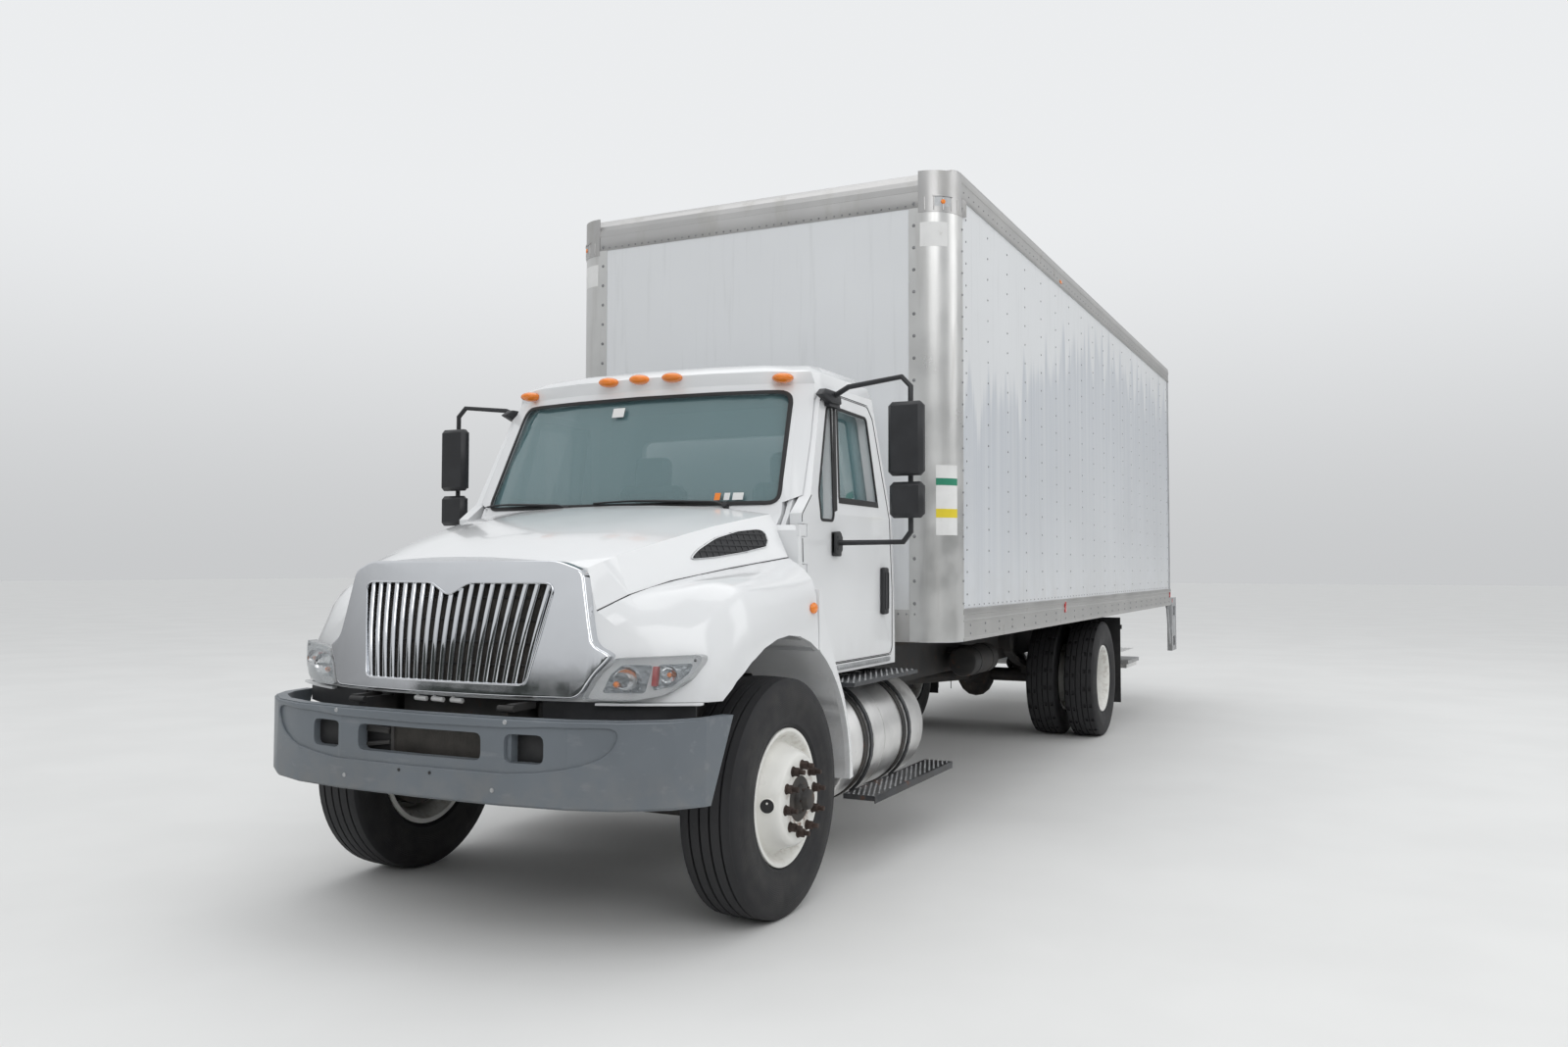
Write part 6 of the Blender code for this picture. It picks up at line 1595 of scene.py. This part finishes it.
class TRUCK_OT_running_gear(BoxTruckOperator):
    """Fuel tank, steps with their treads, air tanks, brake chambers and hoses."""

    bl_idname = "truck.running_gear"
    bl_label = "Running gear"

    def build(self):
        self.tank()
        self.steps()
        self.brakes()

    def tank(self):
        """The tank's shell, its straps with their brackets, the filler cap and a hose."""
        low, high = node_box("fuel_tank")
        radius = 0.305
        x = 0.800
        z = 0.620
        shell = bmesh.new()
        add_rod(shell, (x, low.y + 0.006, z), (x, high.y - 0.006, z), radius - 0.001, 64,
                bevel=0.016)
        for y in (low.y + 0.006, high.y - 0.006):
            out = -1 if y < 1.0 else 1
            add_rod(shell, (x, y, z), (x, y + out * 0.006, z), radius - 0.045, 48, radius - 0.055)
        for y in (1.075, 1.225):
            add_rod(shell, (x, y - 0.004, z), (x, y + 0.004, z), radius + 0.001, 64)
        made = piece("fuel_tank_shell", shell, "chassis", "tank", 34)
        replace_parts(made, "fuel_tank")
        straps = bmesh.new()
        for y in (0.950, 1.500):
            add_rod(straps, (x, y - 0.022, z), (x, y + 0.022, z), radius + 0.0065, 64,
                    bevel=0.002)
            add_box(straps, (RAIL_X, y - 0.035, 0.500), (0.500, y + 0.035, 0.900), 0.006)
            add_rod(straps, (0.470, y, 0.905), (0.470, y, 0.945), 0.010, 8)
        piece("tank_straps", straps, "chassis", "black", 34)
        cap = bmesh.new()
        add_rod(cap, (0.960, low.y + 0.110, 0.860), (0.985, low.y + 0.110, 0.905), 0.046, 24,
                bevel=0.004)
        for n in range(8):
            across = math.cos(2 * math.pi * n / 8)
            along = math.sin(2 * math.pi * n / 8)
            spot = Vector((0.985 + 0.030 * across, low.y + 0.110 + 0.030 * along,
                           0.907 - 0.016 * across))
            add_rod(cap, spot, spot + Vector((0.002, 0, 0.004)), 0.006, 6)
        piece("tank_cap", cap, "chassis", "tank", 40)
        hose = bmesh.new()
        line = bend([(0.780, low.y + 0.060, 0.905), (0.780, low.y + 0.010, 0.960),
                     (0.560, low.y - 0.050, 0.940), (0.400, low.y - 0.080, 0.860)], 0.06)
        add_tube(hose, line, 0.011, 10)
        piece("fuel_hose", hose, "chassis", "rubber", 60)

    def steps(self):
        """Raised treads on both steps and a strip along the lower step's edge."""
        low, high = node_box("side_step")
        dressed("side_step", "step", 0.003, 34)
        tread = bmesh.new()
        for rows, x_low, x_high, y_low, y_high, z in (
            (7, 0.950, 1.135, 0.720, 1.585, high.z),
            (6, high.x - 0.150, high.x - 0.018, 0.860, 2.030, low.z + 0.025),
        ):
            columns = int((y_high - y_low) / 0.036)
            for n in range(columns):
                for m in range(rows):
                    shift = 0.5 if n % 2 else 0.0
                    if m + shift > rows - 1:
                        continue
                    px = x_low + (x_high - x_low) * (m + shift) / (rows - 1)
                    py = y_low + (y_high - y_low) * n / (columns - 1)
                    add_rod(tread, (px, py, z), (px, py, z + 0.004), 0.0085, 4, 0.004)
        # The treads take the light tread finish, partly painted highlight.
        piece("step_treads", tread, "chassis", "tread", 30)
        edge = bmesh.new()
        add_box(edge, (high.x - 0.005, 0.842, low.z - 0.012),
                (high.x + 0.001, 2.048, low.z + 0.024), 0.002)
        piece("step_edge", edge, "chassis", "step", 40)

    def brakes(self):
        """Air tanks under the frame and the rear axle's brake chambers."""
        builder = bmesh.new()
        for x, y, z, length in ((-0.600, 3.70, 0.800, 0.70), (0.600, 4.10, 0.800, 0.62)):
            add_rod(builder, (x, y, z), (x, y + length, z), 0.115, 32, bevel=0.030)
            for share in (0.25, 0.75):
                middle = y + length * share
                add_rod(builder, (x, middle - 0.015, z), (x, middle + 0.015, z), 0.118, 32)
                low, high = sorted((x, math.copysign(RAIL_X, x)))
                add_box(builder, (low, middle - 0.015, z + 0.060),
                        (high, middle + 0.015, z + 0.100), 0.003)
        for side in (1, -1):
            x = side * 0.30
            y = WHEELBASE + 0.245
            add_rod(builder, (x, y, 0.600), (x, y + 0.190, 0.640), 0.078, 24, bevel=0.016)
            add_rod(builder, (x, y + 0.090, 0.618), (x, y + 0.105, 0.622), 0.090, 24)
            add_rod(builder, (x, y, 0.600), (x, y - 0.130, 0.570), 0.014, 10)
        piece("air_tanks", builder, "chassis", "black", 36)
        lines = bmesh.new()
        for x in (0.30, -0.30):
            add_tube(lines, bend([(x, WHEELBASE + 0.36, 0.72), (x, WHEELBASE + 0.30, 0.86),
                                  (x * 0.7, WHEELBASE + 0.05, 0.92),
                                  (x * 0.6, WHEELBASE - 1.2, 0.93)], 0.10), 0.008, 8)
        piece("brake_lines", lines, "chassis", "rubber", 60)


class TRUCK_OT_rear_end(BoxTruckOperator):
    """Rear lamps, door fittings, mud flaps, and the lift gate's struts and treads."""

    bl_idname = "truck.rear_end"
    bl_label = "Rear end"

    def build(self):
        self.lamps()
        self.door()
        self.gate()
        self.flaps()

    def lamps(self):
        """Round stop lamps at both sides of the sill and three markers on the header."""
        red = bmesh.new()
        rings = bmesh.new()
        rear = BODY_REAR
        for side in (1, -1):
            for x in (1.130, 1.010):
                spot = Vector((side * x, rear - 0.001, BODY_BOTTOM + 0.070))
                add_rod(rings, spot, spot + Vector((0, 0.007, 0)), 0.048, 28, bevel=0.002)
                add_rod(red, spot + Vector((0, 0.006, 0)), spot + Vector((0, 0.013, 0)), 0.041,
                        28, 0.036, bevel=0.002)
            spot = Vector((side * 1.180, rear - 0.001, BODY_TOP - 0.070))
            add_box(red, spot - Vector((0.040, 0, 0.014)), spot + Vector((0.040, 0.010, 0.014)),
                    0.004)
        for x in (-0.16, 0.0, 0.16):
            add_box(red, (x - 0.040, rear - 0.001, BODY_TOP - 0.084),
                    (x + 0.040, rear + 0.010, BODY_TOP - 0.056), 0.004)
        piece("rear_red_lamps", red, "chassis", "red", 40)
        piece("rear_lamp_rings", rings, "chassis", "rubber", 40)
        plate = bmesh.new()
        add_box(plate, (-0.640, rear + 0.0005, BODY_BOTTOM + 0.010),
                (-0.335, rear + 0.0035, BODY_BOTTOM + 0.130), 0.001)
        piece("rear_plate", plate, "chassis", "white", 40)

    def door(self):
        """Hinges, latch, seams and pull strap of the rolled door, and its frame's rivets."""
        low, high = node_box("rear_door")
        y = high.y
        slats = 6
        hinges = bmesh.new()
        seams = bmesh.new()
        for n in range(1, slats):
            z = low.z + (high.z - low.z) * n / slats
            add_box(seams, (low.x + 0.01, y - 0.001, z - 0.003),
                    (high.x - 0.01, y + 0.0008, z + 0.003))
            for x in (-1.08, -0.54, 0.0, 0.54, 1.08):
                add_box(hinges, (x - 0.035, y - 0.001, z - 0.040),
                        (x + 0.035, y + 0.0035, z + 0.040), 0.001)
                add_rod(hinges, (x - 0.035, y + 0.004, z), (x + 0.035, y + 0.004, z), 0.006, 8)
        add_box(hinges, (-0.075, y - 0.001, low.z + 0.100), (0.075, y + 0.006, low.z + 0.230),
                0.002)
        add_rod(hinges, (-0.020, y + 0.018, low.z + 0.200), (-0.020, y + 0.018, low.z + 0.020),
                0.009, 12)
        add_box(hinges, (-0.050, y + 0.005, low.z + 0.170), (0.055, y + 0.024, low.z + 0.205),
                0.004)
        piece("door_fittings", hinges, "chassis", "zinc", 40)
        piece("door_seams", seams, "chassis", "rubber", 40)
        strap = bmesh.new()
        line = [(0.300, y + 0.004, low.z + 0.080), (0.300, y + 0.030, low.z + 0.060),
                (0.340, y + 0.026, low.z + 0.010)]
        add_tube(strap, bend(line, 0.02), 0.006, 8)
        piece("pull_strap", strap, "chassis", "rubber", 60)
        heads = bmesh.new()
        for n in range(22):
            z = BODY_BOTTOM + 0.20 + n * 0.112
            for x in (-1.245, 1.245):
                add_heads(heads, [(x, BODY_REAR - 0.001, z)], (0, 1, 0), 0.007, 0.004)
        piece("rear_frame_rivets", heads, "chassis", "rivet", 30)

    def gate(self):
        """Struts before the step posts, their slots' rims, reflectors and the treads."""
        for name, finish in (("gate_frame", "zinc"), ("lift_platform", "zinc"),
                             ("lift_flip_over", "tank"), ("lift_arms", "black")):
            dressed(name, finish, 0.003, 34)
        struts = bmesh.new()
        add_tube(struts, [(1.262, 9.706, 1.080), (1.262, 9.880, 0.640)], 0.014, 10)
        add_box(struts, (1.245, 9.700, 1.060), (1.282, 9.730, 1.092), 0.002)
        for low, high in ((0.610, 0.720), (0.960, 1.070)):
            framed(struts, [(9.950, low), (10.130, low), (10.130, high), (9.950, high)],
                   "X", 1.2895, 1.2935, 0.0, 0.010)
        piece("gate_struts", mirrored(struts), "chassis", "zinc", 40)
        marks = bmesh.new()
        add_box(marks, (1.2900, 9.885, 1.115), (1.2925, 9.935, 1.160), 0.0005)
        piece("gate_reflectors", mirrored(marks), "chassis", "red", 40)
        tread = bmesh.new()
        low, high = node_box("lift_platform")
        for n in range(16):
            for m in range(44):
                x = -0.94 + 1.88 * (m + 0.5 * (n % 2)) / 44
                y = low.y + 0.045 + (high.y - low.y - 0.09) * n / 15
                add_rod(tread, (x, y, high.z), (x, y, high.z + 0.003), 0.010, 4, 0.005)
        piece("platform_treads", tread, "platform", "zinc", 30)

    def flaps(self):
        """Bolts through each mud flap's top and ribs down its back."""
        builder = bmesh.new()
        low, high = node_box("mudflap_left")
        for n in range(6):
            x = low.x + 0.06 + (high.x - low.x - 0.12) * n / 5
            z = high.z - 0.030
            add_rod(builder, (x, low.y - 0.006, z), (x, high.y + 0.006, z), 0.009, 8)
            add_box(builder, (x - 0.004, high.y - 0.0005, low.z + 0.05),
                    (x + 0.004, high.y + 0.003, high.z - 0.09), 0.001)
        piece("flap_fittings", mirrored(builder), "chassis", "rubber", 40)


class TRUCK_OT_stage(BoxTruckOperator):
    """The pale floor, the soft studio light and the camera."""

    bl_idname = "truck.stage"
    bl_label = "Stage"

    def build(self):
        builder = bmesh.new()
        bmesh.ops.create_grid(builder, x_segments=1, y_segments=1, size=120.0)
        shader = Shader("studio_floor", FLOOR_SHADE, 0.85).mottle(0.8, 0.02)
        as_object("studio_floor", builder, [shader.grain(30, 0.05, 0.002).made()])
        self.card("front_card", (2.0, -16.0, 1.6), (26.0, 0.1, 3.2))
        self.card("side_card", (20.0, -4.0, 1.7), (0.1, 26.0, 3.4))
        self.light()
        self.camera()

    def card(self, name, centre, size):
        """A dark card out of the picture, which the chrome and the paint reflect."""
        builder = bmesh.new()
        add_box(builder, Vector(centre) - Vector(size) / 2, Vector(centre) + Vector(size) / 2)
        shader = Shader(name, (0.030, 0.036, 0.032), 0.9).mottle(0.5, 0.3)
        made = as_object(name, builder, [shader.made()])
        made.visible_camera = False

    def rise(self, tree, height, *limits):
        """A strength that changes smoothly with height in the sky."""
        node = tree.nodes.new("ShaderNodeMapRange")
        node.interpolation_type = "SMOOTHSTEP"
        for socket, limit in zip(("From Min", "From Max", "To Min", "To Max"), limits):
            node.inputs[socket].default_value = limit
        tree.links.new(height, node.inputs["Value"])
        return node.outputs["Result"]

    def light(self):
        """A pale sky, brighter to the camera than to the truck, and three soft lamps."""
        world = bpy.data.worlds.new("studio")
        bpy.context.scene.world = world
        world.use_nodes = True
        tree = world.node_tree
        background = tree.nodes["Background"]
        where = tree.nodes.new("ShaderNodeTexCoord")
        parts = tree.nodes.new("ShaderNodeSeparateXYZ")
        tree.links.new(where.outputs["Generated"], parts.inputs[0])
        lighting = self.rise(tree, parts.outputs["Z"], 0.0, 0.30, 0.30, 0.80)
        seen = self.rise(tree, parts.outputs["Z"], -0.02, 0.30, 0.60, 0.86)
        paths = tree.nodes.new("ShaderNodeLightPath")
        shown = tree.nodes.new("ShaderNodeMix")
        shown.data_type = "FLOAT"
        tree.links.new(paths.outputs["Is Camera Ray"], shown.inputs["Factor"])
        tree.links.new(lighting, shown.inputs["A"])
        tree.links.new(seen, shown.inputs["B"])
        tree.links.new(shown.outputs["Result"], background.inputs["Strength"])
        background.inputs["Color"].default_value = (0.97, 0.985, 1.0, 1.0)
        lamps = (
            ("front_softbox", (9.0, -15.0, 11.0), (0.4, -2.0, 1.2), 9.0, 520.0),
            ("side_softbox", (16.0, 2.0, 9.0), (0.0, 0.0, 1.5), 9.0, 330.0),
            ("top_softbox", (-1.0, -1.0, 14.0), (0.0, 0.0, 0.0), 12.0, 420.0),
        )
        for name, spot, aim, size, power in lamps:
            lamp = bpy.data.lights.new(name, "AREA")
            lamp.shape = "SQUARE"
            lamp.size = size
            lamp.energy = power
            made = bpy.data.objects.new(name, lamp)
            made.location = spot
            direction = Vector(aim) - Vector(spot)
            made.rotation_euler = direction.to_track_quat("-Z", "Y").to_euler()
            bpy.context.scene.collection.objects.link(made)

    def camera(self):
        """The photograph's camera, found from sizes that such trucks have."""
        data = bpy.data.cameras.new("photo_camera")
        data.sensor_width = 36.0
        data.lens = 27.585
        data.shift_y = -0.003
        camera = bpy.data.objects.new("photo_camera", data)
        camera.location = (3.4447, -4.7328 + FRONT_AXLE_Y, 1.5145)
        camera.rotation_euler = (math.radians(92.32), math.radians(-0.12),
                                 math.radians(26.25))
        bpy.context.scene.collection.objects.link(camera)
        bpy.context.scene.camera = camera
        bpy.context.scene.view_settings.view_transform = "Standard"


OPERATORS = (
    TRUCK_OT_finishes, TRUCK_OT_tyres, TRUCK_OT_wheels, TRUCK_OT_hood, TRUCK_OT_grille,
    TRUCK_OT_bumper, TRUCK_OT_cab_trim, TRUCK_OT_seats, TRUCK_OT_running_gear,
    TRUCK_OT_van_body, TRUCK_OT_rear_end, TRUCK_OT_stage,
)


class TRUCK_PT_looks(bpy.types.Panel):
    """Lists the truck's sizes, colours and operators in the 3D view's sidebar."""

    bl_idname = "TRUCK_PT_looks"
    bl_label = "Box truck"
    bl_space_type = "VIEW_3D"
    bl_region_type = "UI"
    bl_category = "Box truck"

    def draw(self, context):
        column = self.layout.column()
        for name in TruckSizes.__annotations__:
            column.prop(context.scene.truck_sizes, name)
        for name in TruckColours.__annotations__:
            column.prop(context.scene.truck_colours, name)
        for operator in OPERATORS:
            column.operator(operator.bl_idname)


CLASSES = (TruckSizes, TruckColours, *OPERATORS, TRUCK_PT_looks)


def register():
    for one in CLASSES:
        bpy.utils.register_class(one)
    bpy.types.Scene.truck_sizes = PointerProperty(type=TruckSizes)
    bpy.types.Scene.truck_colours = PointerProperty(type=TruckColours)


def unregister():
    del bpy.types.Scene.truck_sizes
    del bpy.types.Scene.truck_colours
    for one in reversed(CLASSES):
        bpy.utils.unregister_class(one)


def main():
    register()
    for operator in OPERATORS:
        group, name = operator.bl_idname.split(".")
        getattr(getattr(bpy.ops, group), name)()
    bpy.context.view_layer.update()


if __name__ == "__main__":
    main()
